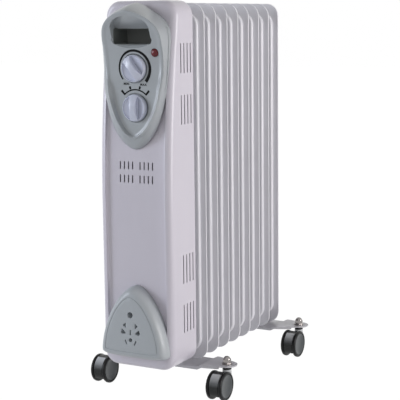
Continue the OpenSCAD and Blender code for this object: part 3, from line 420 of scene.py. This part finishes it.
def lathe(name, profile, axis="X", steps=72):
    """A round piece about an axis through the origin, from pairs of radius and place in mm."""
    turn = {"X": lambda r, h, a: (h, r * math.cos(a), r * math.sin(a)),
            "Y": lambda r, h, a: (r * math.cos(a), h, r * math.sin(a)),
            "Z": lambda r, h, a: (r * math.cos(a), r * math.sin(a), h)}[axis]
    rings = [[MM * Vector(turn(r, h, math.tau * k / steps)) for k in range(steps)]
             for r, h in profile]
    return loft(name, rings, close_first=profile[0][0] > 0, close_last=profile[-1][0] > 0)


def bulge(t, p, q):
    """Half width of a rounded end at t, from 1 at its foot to 0 at its tip."""
    return max(0.0, 1 - t ** p) ** (1 / q)


def shield(half_w, tip, waist, top, low, high, quarter=32):
    """Outline from the tip up the right, over the top and down the left: x and z in mm."""
    turns = [math.pi / 2 * k / quarter for k in range(quarter)]
    right = [(half_w * bulge(math.cos(a), *low), waist - (waist - tip) * math.cos(a))
             for a in turns]
    right += [(half_w * bulge(math.sin(a), *high), waist + (top - waist) * math.sin(a))
              for a in turns + [math.pi / 2]]
    return right + [(-x, z) for x, z in reversed(right[1:-1])]


def box_cutter(x0, x1, y0, y1, z0, z1, corner=0):
    """Box in mm, its edges along Y rounded."""
    let_go()
    middle = MM * Vector(((x0 + x1) / 2, (y0 + y1) / 2, (z0 + z1) / 2))
    bpy.ops.mesh.primitive_cube_add(size=MM, location=middle, scale=(x1 - x0, y1 - y0, z1 - z0))
    cutter = bpy.context.object
    rest_in_place(cutter)
    if corner:
        edit(cutter)
        choose(cutter, edges=lambda e: abs((e.verts[0].co - e.verts[1].co).normalized().y) > 0.9)
        bpy.ops.mesh.bevel(offset=corner * MM, segments=5, affect="EDGES")
        finish_edit()
    return cutter


def rod_cutter(x, z, y0, y1, radius, steps=48):
    """Round rod along Y."""
    let_go()
    bpy.ops.mesh.primitive_cylinder_add(
        vertices=steps, radius=radius * MM, depth=(y1 - y0) * MM,
        location=MM * Vector((x, (y0 + y1) / 2, z)), rotation=(math.pi / 2, 0, 0))
    cutter = bpy.context.object
    rest_in_place(cutter)
    return cutter


def ball_cutter(x, y, z, rx, ry, rz):
    let_go()
    bpy.ops.mesh.primitive_uv_sphere_add(
        segments=48, ring_count=24, radius=MM, location=MM * Vector((x, y, z)),
        scale=(rx, ry, rz))
    cutter = bpy.context.object
    rest_in_place(cutter)
    return cutter


def cut(piece, *cutters):
    """Takes the cutters' shapes out of the piece, one after another."""
    for cutter in cutters:
        modify(piece, "BOOLEAN", object=cutter, operation="DIFFERENCE", solver="EXACT")
        bpy.data.objects.remove(cutter)


def soften(piece, width, angle):
    """Rounds the edges that are sharper than the angle."""
    modify(piece, "BEVEL", width=width * MM, segments=2, limit_method="ANGLE",
           angle_limit=math.radians(angle), harden_normals=False)


def place_copy(model, name, x, y, z, half_turn=False):
    """A copy of a model built at the origin, at its place in mm."""
    twin = copy_of(model, name)
    twin.location = MM * Vector((x, y, z))
    twin.rotation_euler = (0, 0, math.pi if half_turn else 0)
    rest_in_place(twin)
    return twin


def dress(piece, material, nodes=(), body="radiator", angle=35):
    """Finish and body for a piece, and hides the CAD nodes that it stands in for."""
    smooth(piece, angle)
    piece.data.materials.clear()
    piece.data.materials.append(material)
    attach(piece, body)
    if nodes:
        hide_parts(*nodes)


def span(node):
    """Corners of a CAD node's box, in mm."""
    low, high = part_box(node)
    return Vector(low) / MM, Vector(high) / MM


# ---- Places taken from the CAD model ---------------------------------------------------------

housing_low, housing_high = span("front_housing")
bezel_low, bezel_high = span("bezel")
cover_low, cover_high = span("plug_cover")
knob_low, knob_high = span("thermostat_knob")
power_low, power_high = span("power_knob")
lens_low, lens_high = span("lamp_lens")
RIDGE = housing_low.y                       # front of the housing's ridges
RECESS = 5.0                                # depth of the sunk panel
bezel_x = (bezel_low.x + bezel_high.x) / 2
bezel_tip, bezel_top = bezel_low.z, bezel_high.z
bezel_half_w = (bezel_high.x - bezel_low.x) / 2
grip_reach = RIDGE - bezel_low.y
knob_r = (power_high.x - power_low.x) / 2
thermostat_z = (knob_low.z + knob_high.z) / 2
power_z = (power_low.z + power_high.z) / 2
lens_z = (lens_low.z + lens_high.z) / 2
lens_x = (lens_low.x + lens_high.x) / 2


# ---- Housing ---------------------------------------------------------------------------------

HOUSING_CORNER = 24.0                       # corners of the housing, seen from the front
PANEL_HALF_W = housing_high.x - 10.5        # half width of the sunk panel
PANEL_Z = housing_low.z + 26, housing_high.z - 30
PANEL_CORNER = 20.0
EDGE = 10.0                                 # rounding of the housing's front edge
LEAN_FROM = 310.0                           # where the front begins to curve back
LEAN_TO = 600.0                             # the curve ends above the panel
LEAN_BACK = 24.5                            # how far back it ends
SIDE_VENT = 46.0, 2.6                       # length and width of a slot in the sides
SIDE_VENT_Y = RIDGE + 52                    # middle of a group of them
SIDE_VENT_PITCH = 10.0
SIDE_VENT_RISES = (-204, -125, 125, 204)    # the groups, from their common middle
FRONT_VENT = 12.5, 2.2                      # length and width of a slot in the panel
FRONT_VENT_Z = power_z - 101                # middle of the two rows
FRONT_VENT_ROW = 21.0
FRONT_VENT_PITCH = 7.5
FRONT_VENT_IN = 6.75                        # the first slot, from the heater's middle


def lean(z):
    """How far the housing's front has curved back at a height."""
    return LEAN_BACK * (max(0, min(z, LEAN_TO) - LEAN_FROM) / (LEAN_TO - LEAN_FROM)) ** 2


def shell_y(x, z):
    """Front surface of the housing at x and z, in mm behind its lower ridges."""
    def inside(x1, z0, z1, corner):
        # How far a point lies inside a rectangle with round corners
        dx = abs(x) - x1 + corner
        dz = abs(z - (z0 + z1) / 2) - (z1 - z0) / 2 + corner
        return corner - math.hypot(max(dx, 0), max(dz, 0)) - min(max(dx, dz), 0)
    sunk = inside(PANEL_HALF_W, *PANEL_Z, PANEL_CORNER)
    edge = inside(housing_high.x, housing_low.z, housing_high.z, HOUSING_CORNER)
    if sunk >= RECESS:
        local = RECESS
    elif sunk > 0:
        local = math.sqrt(RECESS ** 2 - (RECESS - sunk) ** 2)
    else:
        local = EDGE - math.sqrt(max(0, EDGE ** 2 - max(0, EDGE - max(edge, 0)) ** 2))
    return lean(z) + local


def panel_outline(half_w, z0, z1, corner):
    """Rectangle with round corners; its upright sides have many points, so they can lean."""
    rows, turn = 36, 8
    points = []
    for sx, sz in ((1, 1), (-1, 1), (-1, -1), (1, -1)):
        for k in range(turn + 1):
            a = math.pi / 2 * k / turn
            c, d = (math.cos(a), math.sin(a)) if sx * sz > 0 else (math.sin(a), math.cos(a))
            points.append((sx * (half_w - corner + corner * c),
                           (z1 if sz > 0 else z0) + sz * corner * (d - 1)))
        if (sx, sz) in ((-1, 1), (1, -1)):
            top, bottom = z1 - corner, z0 + corner
            start, end = (top, bottom) if sx < 0 else (bottom, top)
            points += [(sx * half_w, start + (end - start) * (k / rows)) for k in range(1, rows)]
    return points


def slot_cutters(places, length, width):
    """Upright slots with round ends, joined into one cutter: places are middle and direction."""
    let_go()
    bpy.ops.mesh.primitive_cylinder_add(vertices=16, radius=width / 2 * MM, depth=8 * MM)
    model = bpy.context.object
    edit(model)
    choose(model, verts=lambda v: v.co.y > 0)
    bpy.ops.transform.translate(value=(0, (length - width) * MM, 0))
    bpy.ops.mesh.select_all(action="SELECT")
    bpy.ops.transform.translate(value=(0, -(length - width) / 2 * MM, 0))
    finish_edit()
    twins = []
    for x, y, z, turn in places:
        twin = copy_of(model, "slot")
        twin.location = MM * Vector((x, y, z))
        twin.rotation_euler = (math.pi / 2, 0, turn)
        twins.append(twin)
    bpy.data.objects.remove(model)
    let_go()
    for twin in twins:
        twin.select_set(True)
    bpy.context.view_layer.objects.active = twins[0]
    bpy.ops.object.join()
    rest_in_place(twins[0])
    return twins[0]


def build_housing():
    """Folded sheet with rounded front edges, a sunk panel and slots in front and sides."""
    rings = []
    half_w, z0, z1 = housing_high.x, housing_low.z, housing_high.z

    def add(points, depth, follow=1):
        rings.append([MM * Vector((x, RIDGE + depth + follow * lean(z), z)) for x, z in points])

    # Back edge, the rounded front edge, the step into the panel, and the panel itself
    add(panel_outline(half_w, z0, z1, HOUSING_CORNER), housing_high.y - RIDGE, 0)
    for a in (0, 15, 30, 45, 60, 75, 90):
        i = EDGE * (1 - math.cos(math.radians(a)))
        add(panel_outline(half_w - i, z0 + i, z1 - i, HOUSING_CORNER - i),
            EDGE * (1 - math.sin(math.radians(a))))
    low, high = PANEL_Z
    for a in (-8, 0, 12, 30, 50, 70, 90):
        t = math.radians(max(a, 0))
        i = RECESS * (1 - math.cos(t)) - (0.5 if a < 0 else 0)
        add(panel_outline(PANEL_HALF_W - i, low + i, high - i, PANEL_CORNER - i),
            RECESS * math.sin(t))
    floor = panel_outline(PANEL_HALF_W - RECESS, low + RECESS, high - RECESS,
                          PANEL_CORNER - RECESS)
    for width in (0.66, 0.33, 0):
        add([(x * width, z) for x, z in floor], RECESS)
    shell = loft("housing_shell", rings, close_first=False, close_last=False)
    modify(shell, "SOLIDIFY", thickness=MM, offset=-1, use_even_offset=False)
    middle = (z0 + z1) / 2 - 4.5
    side = [(sx * half_w, SIDE_VENT_Y + k * SIDE_VENT_PITCH, middle + rise, math.pi / 2)
            for sx in (-1, 1) for rise in SIDE_VENT_RISES for k in (-1.5, -0.5, 0.5, 1.5)]
    front = [(sx * (FRONT_VENT_IN + FRONT_VENT_PITCH * k), RIDGE + RECESS,
              FRONT_VENT_Z + row * FRONT_VENT_ROW, 0)
             for row in (-0.5, 0.5) for sx in (-1, 1) for k in range(4)]
    # The grip's tub goes through a hole behind the bezel
    opening = box_cutter(-33, 46, RIDGE - 5, RIDGE + 60, bezel_top - 66, bezel_top - 36, 4)
    cut(shell, slot_cutters(side, *SIDE_VENT), slot_cutters(front, *FRONT_VENT), opening)
    return shell


dress(build_housing(), housing_enamel, ["front_housing"], angle=30)


# ---- Control bezel ---------------------------------------------------------------------------

FACE_REACH = 5.0                            # control face in front of the ridges
FACE_TOP = bezel_top - 13.5                 # upper edge of the front face
BEZEL_WAIST = bezel_top - 63                # where its outline is widest
DISH = 1.6                                  # how far the face sinks below the thermostat
RIM = 5.2                                   # height of the roll round the control face
RIM_TOP = 0.9                               # and of the roll beside the grip
GRIP_Z = bezel_top - 63                     # bottom of the grip opening
GRIP_SPRING = GRIP_Z + 23                   # where its arch begins
GRIP_HALF_W = 34.5
GRIP_ARCH = 20.0                            # rise of the arch
GRIP_CORNER = 4.0
WELL_GAP = 1.7                              # round the knobs, in the wells they turn in
WELL_DEPTH = 3.4
LENS_SEAT_R = 6.6


def face_y(z):
    """Face of the bezel from the side: level at the controls, flaring out to the grip."""
    y = -FACE_REACH
    if z > thermostat_z:
        flare = (min(z, FACE_TOP) - thermostat_z) / (FACE_TOP - thermostat_z)
        y -= (grip_reach - FACE_REACH - RIM_TOP) * flare ** 1.8
    if z < bezel_tip + 40:
        y += 7 * (1 - (z - bezel_tip) / 40) ** 2
    return y


def dish_y(z):
    """The face inside the rim sinks below the thermostat."""
    t = min(max((thermostat_z - 11 - z) / 22, 0), 1)
    return DISH * t * t * (3 - 2 * t)


def rim_y(z):
    """The roll round the lower control face stands proud of it."""
    t = min(max((thermostat_z - 2 - z) / 40, 0), 1)
    rise = RIM_TOP + (RIM - RIM_TOP) * t * t * (3 - 2 * t)
    return -rise * min(1, max(0, z - bezel_tip - 12) / 12)


def sway(z):
    """The face lies to the right of the housing's middle, and its tip on it."""
    t = min(max((z - bezel_tip) / 75, 0), 1)
    return bezel_x * t * (2 - t)


def on_face(x, z, lift=0.0):
    """A place on the face, x from its middle; lift is how far behind the face it lies."""
    return MM * Vector((sway(z) + x, RIDGE + face_y(z) + dish_y(z) + lift, z))


def bezel_rim(side, rise, drop):
    """Outline on the bezel's face: how far in at the sides, the tip and the top."""
    return shield(bezel_half_w - side, bezel_tip + rise, BEZEL_WAIST, bezel_top - drop,
                  (3, 1.5), (3, 1.45), 64)


def bezel_rings():
    """The bezel from its foot on the housing, round the roll, to the middle of its face."""
    foot = shield(bezel_half_w - 1.2, bezel_tip, BEZEL_WAIST, bezel_top,
                  (3.4, 1.65), (2.4, 1.3), 64)

    def skin(share, out):
        # Share of the reach from the foot to the rim, and of the way across
        ring = []
        for (xf, zf), (xr, zr) in zip(foot, bezel_rim(5.2, 15.4, 12.4)):
            z = zf + (zr - zf) * out
            back, front = shell_y(xf, zf) - 0.2, face_y(zr) + 0.45 * rim_y(zr)
            ring.append(MM * Vector((xf + (sway(zr) + xr - xf) * out,
                                     RIDGE + back + (front - back) * share, z)))
        return ring

    def roll(side, rise, drop, deep):
        # From -1 at the crest of the roll to 1 on the control face
        return [MM * Vector((sway(z) + x,
                             RIDGE + face_y(z) + max(deep, 0) * dish_y(z)
                             - min(deep, 0) * rim_y(z), z))
                for x, z in bezel_rim(side, rise, drop)]

    rings = [skin(share, out) for share, out in (
        (0, 0.6), (0.16, 0.52), (0.18, 0.02), (0.32, 0.08), (0.54, 0.26), (0.76, 0.5),
        (0.9, 0.74), (0.97, 0.92), (1, 1))]
    rings += [roll(*place) for place in (
        (6.6, 16.8, 13.4, -0.8), (8, 18, 14.6, -1), (9.3, 19.2, 15.8, -0.92),
        (10.8, 20.6, 17.2, -0.5), (12.6, 22.2, 19, 0.2), (14.8, 24, 21.2, 0.8), (17, 26, 24, 1))]
    rings += [[on_face(x * width, z) for x, z in bezel_rim(17, 26, 24)]
              for width in (0.8, 0.6, 0.4, 0.2, 0)]
    return rings


def grip_cutters():
    """The grip opening: straight through low down, and under a slanting bar higher up."""
    front = RIDGE - grip_reach - 20
    low_box = box_cutter(bezel_x - GRIP_HALF_W, bezel_x + GRIP_HALF_W, front, RIDGE + 40,
                         GRIP_Z, GRIP_SPRING + 0.5, GRIP_CORNER)
    let_go()
    bpy.ops.mesh.primitive_cylinder_add(
        vertices=96, radius=MM, depth=80 * MM, rotation=(math.pi / 2, 0, 0),
        location=MM * Vector((bezel_x, RIDGE - 30, GRIP_SPRING)),
        scale=(GRIP_HALF_W, GRIP_ARCH, 1))
    arch = bpy.context.object
    rest_in_place(arch)
    slice_off(arch, (bezel_x, RIDGE - 27, GRIP_SPRING + GRIP_ARCH),
              Vector((0, 20, 27)).normalized())
    finish_edit()
    scoop = ball_cutter(bezel_x, RIDGE - 12, GRIP_Z + 7, 36, 8, 14)
    return low_box, arch, scoop


def build_bezel():
    """Moulding with the grip, the wells of both knobs and the lens's seat."""
    piece = loft("bezel_moulding", bezel_rings(), close_last=False)
    grip = grip_cutters()
    wells = [rod_cutter(bezel_x, z, RIDGE - 40, RIDGE - FACE_REACH + dish_y(z) + WELL_DEPTH,
                        knob_r + WELL_GAP, 96) for z in (thermostat_z, power_z)]
    seat = rod_cutter(lens_x, lens_z, RIDGE - 40, RIDGE + 4, LENS_SEAT_R)
    cut(piece, *grip, *wells, seat)
    soften(piece, 0.6, 42)
    return piece


dress(build_bezel(), bezel_plastic, ["bezel"], angle=30)


def build_grip_tub_with_shade_lining():
    """Dark tub behind the grip opening; it also lines the opening's sides and bottom, where its
    dark plastic stands in for shade (painted shade).
    """
    back = span("grip_pocket")[1].y
    # The front reaches to just behind the face, so dark walls cover the opening's sides: painted
    # shade there, the real pocket further back
    front, wall = RIDGE - 8.5, 1.2
    x0, x1 = bezel_x - GRIP_HALF_W - 0.1, bezel_x + GRIP_HALF_W + 0.1
    z0, z1 = GRIP_Z - 0.6, GRIP_SPRING + 1
    tub = name_it(box_cutter(x0, x1, front, back, z0, z1, GRIP_CORNER), "grip_tub_shade_lining")
    hollow = box_cutter(x0 + wall, x1 - wall, front - 5, back - wall, z0 + wall, z1 - wall, 3.4)
    open_top = box_cutter(x0 + 4, x1 - 4, front - 5, RIDGE - 1, z1 - 4, z1 + 4)
    cut(tub, hollow, open_top)
    soften(tub, 0.3, 50)
    return tub


dress(build_grip_tub_with_shade_lining(), pocket_plastic, ["grip_pocket"], angle=30)


# ---- Knobs, lens and dial marks --------------------------------------------------------------

SCOOP_R = 58.0                              # radius of the bar's hollow sides
SCOOP_X = 62.4                              # their axes, from the knob's own
SCOOP_EDGE = 2.1                            # width of the knob's rim outside them


def build_knob(name, z, back_y, turn):
    """Domed knob with a waisted bar left between two scoops that rise outwards."""
    knob = lathe(name, [
        (knob_r - 0.3, 0), (knob_r, -0.4), (knob_r - 0.2, -4.6), (knob_r - 0.5, -5.5),
        (knob_r - 1.1, -6.2), (knob_r - 2, -6.8), (17, -7.9), (13.5, -9.6), (9.5, -11),
        (5, -12), (0, -12.4)], "Y", 96)
    for side in (-1, 1):
        scoop = rod_cutter(side * SCOOP_X, 0, -24, 0, SCOOP_R, 256)
        inside = rod_cutter(0, 0, -30, 10, knob_r - SCOOP_EDGE, 96)
        modify(scoop, "BOOLEAN", object=inside, operation="INTERSECT", solver="EXACT")
        bpy.data.objects.remove(inside)
        rise = Vector((side * 0.24, 1, 0)).normalized()
        slice_off(scoop, (side * 4.6, -2.4, 0), rise)
        choose(scoop, faces=lambda f: f.normal.dot(rise) > 0.99)
        bpy.ops.mesh.region_to_loop()
        bpy.ops.mesh.bevel(offset=1.2 * MM, segments=4, affect="EDGES", clamp_overlap=False)
        finish_edit()
        cut(knob, scoop)
    soften(knob, 0.4, 38)
    knob.location = MM * Vector((bezel_x, back_y, z))
    knob.rotation_euler = (0, math.radians(-turn), 0)
    rest_in_place(knob)
    return knob


dress(build_knob("thermostat_dial_knob", thermostat_z, knob_high.y, 38), knob_plastic,
      ["thermostat_knob"], "thermostat_dial")
dress(build_knob("power_dial_knob", power_z, power_high.y, 0), knob_plastic,
      ["power_knob"], "power_dial")


LENS_DOME = 2.5                             # the lens in front of its collar


def build_lens():
    """Domed lens with a groove inside its collar."""
    lens = lathe("pilot_lens", [
        (5.2, 4), (6.3, 4), (6.3, -0.4), (6.0, -0.9), (5.5, -1.0), (5.2, -0.7), (4.9, -0.9),
        (4.2, -1.5), (2.8, -2.1), (1.4, -2.4), (0, -LENS_DOME)], "Y", 48)
    lens.location = MM * Vector((lens_x, lens_low.y + LENS_DOME, lens_z))
    rest_in_place(lens)
    return lens


dress(build_lens(), lens_red, ["lamp_lens"])


PRINT_LIFT = 0.2                            # how far a mark stands off the face
PRINT_ROOT = 0.4                            # and how deep it is set in
WORD_HEIGHT = 3.3


def arc_band(name, z0, start, end, inner, outer, steps=60):
    """Thin mark round a knob on the bezel's face; its radii may change along the arc."""
    rings = []
    for k in range(steps + 1):
        t = k / steps
        a = math.radians(start + (end - start) * t)
        rings.append([on_face(r * math.sin(a), z0 + r * math.cos(a), lift)
                      for r, lift in ((inner(t), PRINT_ROOT), (inner(t), -PRINT_LIFT),
                                      (outer(t), -PRINT_LIFT), (outer(t), PRINT_ROOT))])
    return loft(name, rings)


def letters(name, text, x, z):
    """A word on the bezel's face, cut from a flat text."""
    let_go()
    bpy.ops.object.text_add(rotation=(math.pi / 2, 0, 0))
    word = bpy.context.object
    word.data.body = text
    word.data.size = WORD_HEIGHT / 0.7 * MM     # capitals are 0.7 of a font's size
    word.data.offset = 0.18 * MM
    word.data.space_character = 1.25
    word.data.align_x = "CENTER"
    word.data.align_y = "CENTER"
    word.data.extrude = 0.15 * MM
    bpy.ops.object.convert(target="MESH")
    word = name_it(bpy.context.object, name)
    word.rotation_euler = (math.pi / 2, 0, 0)
    word.location = MM * Vector((bezel_x + x, 0, z))
    rest_in_place(word)
    edit(word)
    bpy.ops.mesh.select_all(action="SELECT")
    place_selected(word, lambda co: on_face(co.x / MM - sway(co.z / MM), co.z / MM,
                                            -PRINT_LIFT if co.y < 0 else 0.3))
    finish_edit()
    return word


def build_marks():
    """A scale that widens round the thermostat knob, one with four ticks, and two words."""
    marks = [arc_band("thermostat_scale", thermostat_z, -129, 135, lambda t: 25.4,
                      lambda t: 27.5 + 3.1 * t),
             arc_band("power_scale", power_z, -44, 44, lambda t: 26.7, lambda t: 28.8, 24)]
    for k, turn in enumerate((-43, -16.5, 15, 43)):
        inner, outer = (26.9, 36) if k in (0, 3) else (29.4, 34)
        marks.append(arc_band("power_tick_%d" % (k + 1), power_z, turn - 2.9, turn + 2.9,
                              lambda t, r=inner: r, lambda t, r=outer: r, 4))
    marks.append(letters("word_min", "MIN", -15.2, thermostat_z - 23.6))
    marks.append(letters("word_max", "MAX", 15, thermostat_z - 24.6))
    return marks


for mark in build_marks():
    dress(mark, print_black)


# ---- Plug cover ------------------------------------------------------------------------------

COVER_X = (cover_low.x + cover_high.x) / 2
COVER_HALF_W = (cover_high.x - cover_low.x) / 2
COVER_REACH = RIDGE - cover_low.y           # the dome's highest point, from the ridges
COVER_CREST = 20.7                          # and the flank's, where the dome begins
PINS_Z = cover_low.z + 72                   # the upper parking hole


def cover_outline(inset):
    """Round arch on a nearly flat foot."""
    return shield(COVER_HALF_W - inset, cover_low.z + inset, cover_low.z + 9.5 + inset / 2,
                  cover_high.z - 1.3 * inset, (3, 4), (1.6, 1.63))


def cover_rings():
    """Up the flank, through the groove and over the dome."""
    def ring(inset, y):
        return [MM * Vector((COVER_X + x, RIDGE + y, z)) for x, z in cover_outline(inset)]

    rings = [[MM * Vector((COVER_X + x, RIDGE + shell_y(COVER_X + x, z) - 0.2, z))
              for x, z in cover_outline(inset)] for inset in (2, 0)]
    rings += [ring(inset, y) for inset, y in (
        (0, -3), (0.2, -6), (0.9, -9.5), (2.1, -13), (3.8, -16), (6, -18.4), (8.4, -19.6),
        (11.4, -20.3), (11.6, -19.5), (12.4, -19.5), (12.7, -20.4), (16, -COVER_CREST))]
    rings += [[MM * Vector((COVER_X + x * width,
                            RIDGE - COVER_CREST - (COVER_REACH - COVER_CREST) * (1 - width), z))
               for x, z in cover_outline(16)] for width in (0.75, 0.5, 0.25, 0)]
    return rings


def build_cover():
    """Domed cover with holes that park a plug's pins."""
    piece = loft("plug_parking_cover", cover_rings(), close_last=False)
    front, deep = RIDGE - COVER_REACH - 5, RIDGE - 6

    def round_hole(x, z, radius):
        return rod_cutter(COVER_X + x, z, front, deep, radius)

    def pin_slot(x, z, width, height, turn=0):
        cutter = box_cutter(-width / 2, width / 2, front, deep, -height / 2, height / 2,
                            width / 2.2)
        cutter.rotation_euler = (0, math.radians(-turn), 0)
        cutter.location = MM * Vector((COVER_X + x, 0, z))
        rest_in_place(cutter)
        return cutter

    cutters = [round_hole(0, PINS_Z, 4.9), round_hole(0, PINS_Z - 40, 3.2),
               pin_slot(0, PINS_Z - 28, 2.6, 8.6)]
    for side in (-1, 1):
        cutters += [pin_slot(side * 9.5, PINS_Z - 17, 2.5, 8),
                    pin_slot(side * 11.6, PINS_Z - 17, 3.2, 3.6),
                    round_hole(side * 14, PINS_Z - 28, 3.3),
                    pin_slot(side * 12.6, PINS_Z - 27, 3.2, 9.6, -side * 45),
                    pin_slot(side * 8.5, PINS_Z - 44, 2.3, 8.2, -side * 24)]
    cut(piece, *cutters)
    soften(piece, 0.25, 50)
    return piece


dress(build_cover(), cover_painted_lighter, ["plug_cover"], angle=30)


# ---- Casters ---------------------------------------------------------------------------------

# Both are lathed about the axle, from pairs of radius and distance from the caster's middle
tyre_model = lathe("tyre_model", [
    (14, 8.2), (21.4, 8.2), (22.7, 8.7), (23.2, 9.8), (23.2, 12), (22.9, 13), (22, 13.7),
    (20.8, 14), (19.8, 13.8), (19.1, 13.1), (18.8, 10.1), (14, 10.1)])
disc_model = lathe("disc_model", [
    (13, 10.15), (18.7, 10.15), (18.7, 13.3), (18.4, 13.6), (17.9, 13.5), (16.5, 12.9), (14, 12),
    (11, 11.3), (7.5, 10.8), (4, 10.58), (0, 10.5)])
for corner in ("fr", "fl", "rr", "rl"):
    axle_low, axle_high = span("axle_" + corner)
    middle = (axle_low + axle_high) / 2
    for side, turned_round in (("right", False), ("left", True)):
        body = "wheel_%s_%s" % (corner, side)
        tyre = place_copy(tyre_model, "tyre_%s_%s" % (corner, side), *middle, turned_round)
        dress(tyre, tyre_black, [body], body)
        disc = place_copy(disc_model, "wheel_disc_%s_%s" % (corner, side), *middle, turned_round)
        dress(disc, disc_grey, body=body)
bpy.data.objects.remove(tyre_model)
bpy.data.objects.remove(disc_model)


# ---- Camera, floor and light -----------------------------------------------------------------

CAMERA_PLACE = 0.97773, RIDGE * MM - 1.55986, 0.6011
CAMERA_TURN = 28.929, 8.572, -0.677         # yaw, pitch down and roll, in degrees
CAMERA_LENS = 107.853                       # mm, on a sensor 36 mm wide
FLOOR_GLOW = 1.1                            # white, together with the floor's own light
FLOOR_GLOW_SHARE = 0.9                      # the rest of the floor shows the shadow
SKY_LOW, SKY_HIGH = 0.76, 0.1               # strength of its light, low down and overhead


def set_camera():
    yaw, pitch, roll = (math.radians(a) for a in CAMERA_TURN)
    ahead = Vector((-math.sin(yaw) * math.cos(pitch), math.cos(yaw) * math.cos(pitch),
                    -math.sin(pitch)))
    right = Vector((math.cos(yaw), math.sin(yaw), 0))
    up = right.cross(ahead)
    right_r = math.cos(roll) * right + math.sin(roll) * up
    up_r = -math.sin(roll) * right + math.cos(roll) * up
    data = bpy.data.cameras.new("view_camera")
    data.sensor_width = 36
    data.lens = CAMERA_LENS
    data.clip_end = 30
    camera = bpy.data.objects.new("view_camera", data)
    bpy.context.collection.objects.link(camera)
    turn = Matrix((right_r, up_r, -ahead)).transposed().to_4x4()
    camera.matrix_world = Matrix.Translation(CAMERA_PLACE) @ turn
    bpy.context.scene.camera = camera


def seen_directly(n, l):
    """One for rays from the camera, a mirror or a lens, nought for light on the object."""
    ray = n.new("ShaderNodeLightPath")
    total = ray.outputs["Is Camera Ray"]
    for kind in ("Is Glossy Ray", "Is Transmission Ray"):
        both = n.new("ShaderNodeMath")
        both.operation = "MAXIMUM"
        l.new(total, both.inputs[0])
        l.new(ray.outputs[kind], both.inputs[1])
        total = both.outputs[0]
    return total


def set_floor():
    let_go()
    bpy.ops.mesh.primitive_plane_add(size=24, location=(0, 0, 0))
    floor = name_it(bpy.context.object, "studio_floor")
    m = bpy.data.materials.new("studio_floor")
    m.use_nodes = True
    n, l = m.node_tree.nodes, m.node_tree.links
    bsdf = n["Principled BSDF"]
    bsdf.inputs["Base Color"].default_value = (0.84, 0.84, 0.85, 1)
    bsdf.inputs["Roughness"].default_value = 0.9
    bsdf.inputs["Specular IOR Level"].default_value = 0.1
    glow = n.new("ShaderNodeEmission")
    glow.inputs["Strength"].default_value = FLOOR_GLOW
    share = n.new("ShaderNodeMath")
    share.operation = "MULTIPLY"
    share.inputs[1].default_value = FLOOR_GLOW_SHARE
    l.new(seen_directly(n, l), share.inputs[0])
    mix = n.new("ShaderNodeMixShader")
    l.new(share.outputs[0], mix.inputs["Fac"])
    l.new(bsdf.outputs[0], mix.inputs[1])
    l.new(glow.outputs[0], mix.inputs[2])
    l.new(mix.outputs[0], n["Material Output"].inputs["Surface"])
    floor.data.materials.append(m)


def set_world():
    world = bpy.data.worlds.new("studio")
    bpy.context.scene.world = world
    world.use_nodes = True
    n, l = world.node_tree.nodes, world.node_tree.links
    sky = n["Background"]
    sky.inputs["Color"].default_value = (1, 1, 1, 1)
    coords = n.new("ShaderNodeTexCoord")
    split = n.new("ShaderNodeSeparateXYZ")
    l.new(coords.outputs["Generated"], split.inputs[0])
    height = n.new("ShaderNodeMapRange")
    height.inputs["From Min"].default_value = 0.1
    height.inputs["From Max"].default_value = 0.7
    height.inputs["To Min"].default_value = SKY_LOW
    height.inputs["To Max"].default_value = SKY_HIGH
    l.new(split.outputs["Z"], height.inputs["Value"])
    level = n.new("ShaderNodeMapRange")
    l.new(height.outputs[0], level.inputs["To Min"])
    level.inputs["To Max"].default_value = 1.0  # white where it is seen
    l.new(seen_directly(n, l), level.inputs["Value"])
    l.new(level.outputs[0], sky.inputs["Strength"])


def soft_box(name, place, aim, width, height, power, colour):
    data = bpy.data.lights.new(name, "AREA")
    data.shape = "RECTANGLE"
    data.size = width
    data.size_y = height
    data.energy = power
    data.color = colour
    lamp = bpy.data.objects.new(name, data)
    bpy.context.collection.objects.link(lamp)
    lamp.location = place
    lamp.rotation_euler = (Vector(aim) - Vector(place)).to_track_quat("-Z", "Y").to_euler()


set_camera()
set_floor()
set_world()
soft_box("right_box", place=(2.85, 0.15, 0.6), aim=(0, 0, 0.22), width=1.2, height=1.1,
         power=38, colour=(1.0, 0.975, 0.985))
soft_box("left_box", place=(-2.4, -1.7, 1.0), aim=(0, -0.1, 0.35), width=1.0, height=1.4,
         power=34.5, colour=(0.82, 0.88, 1.0))
bpy.context.scene.view_settings.view_transform = "Standard"
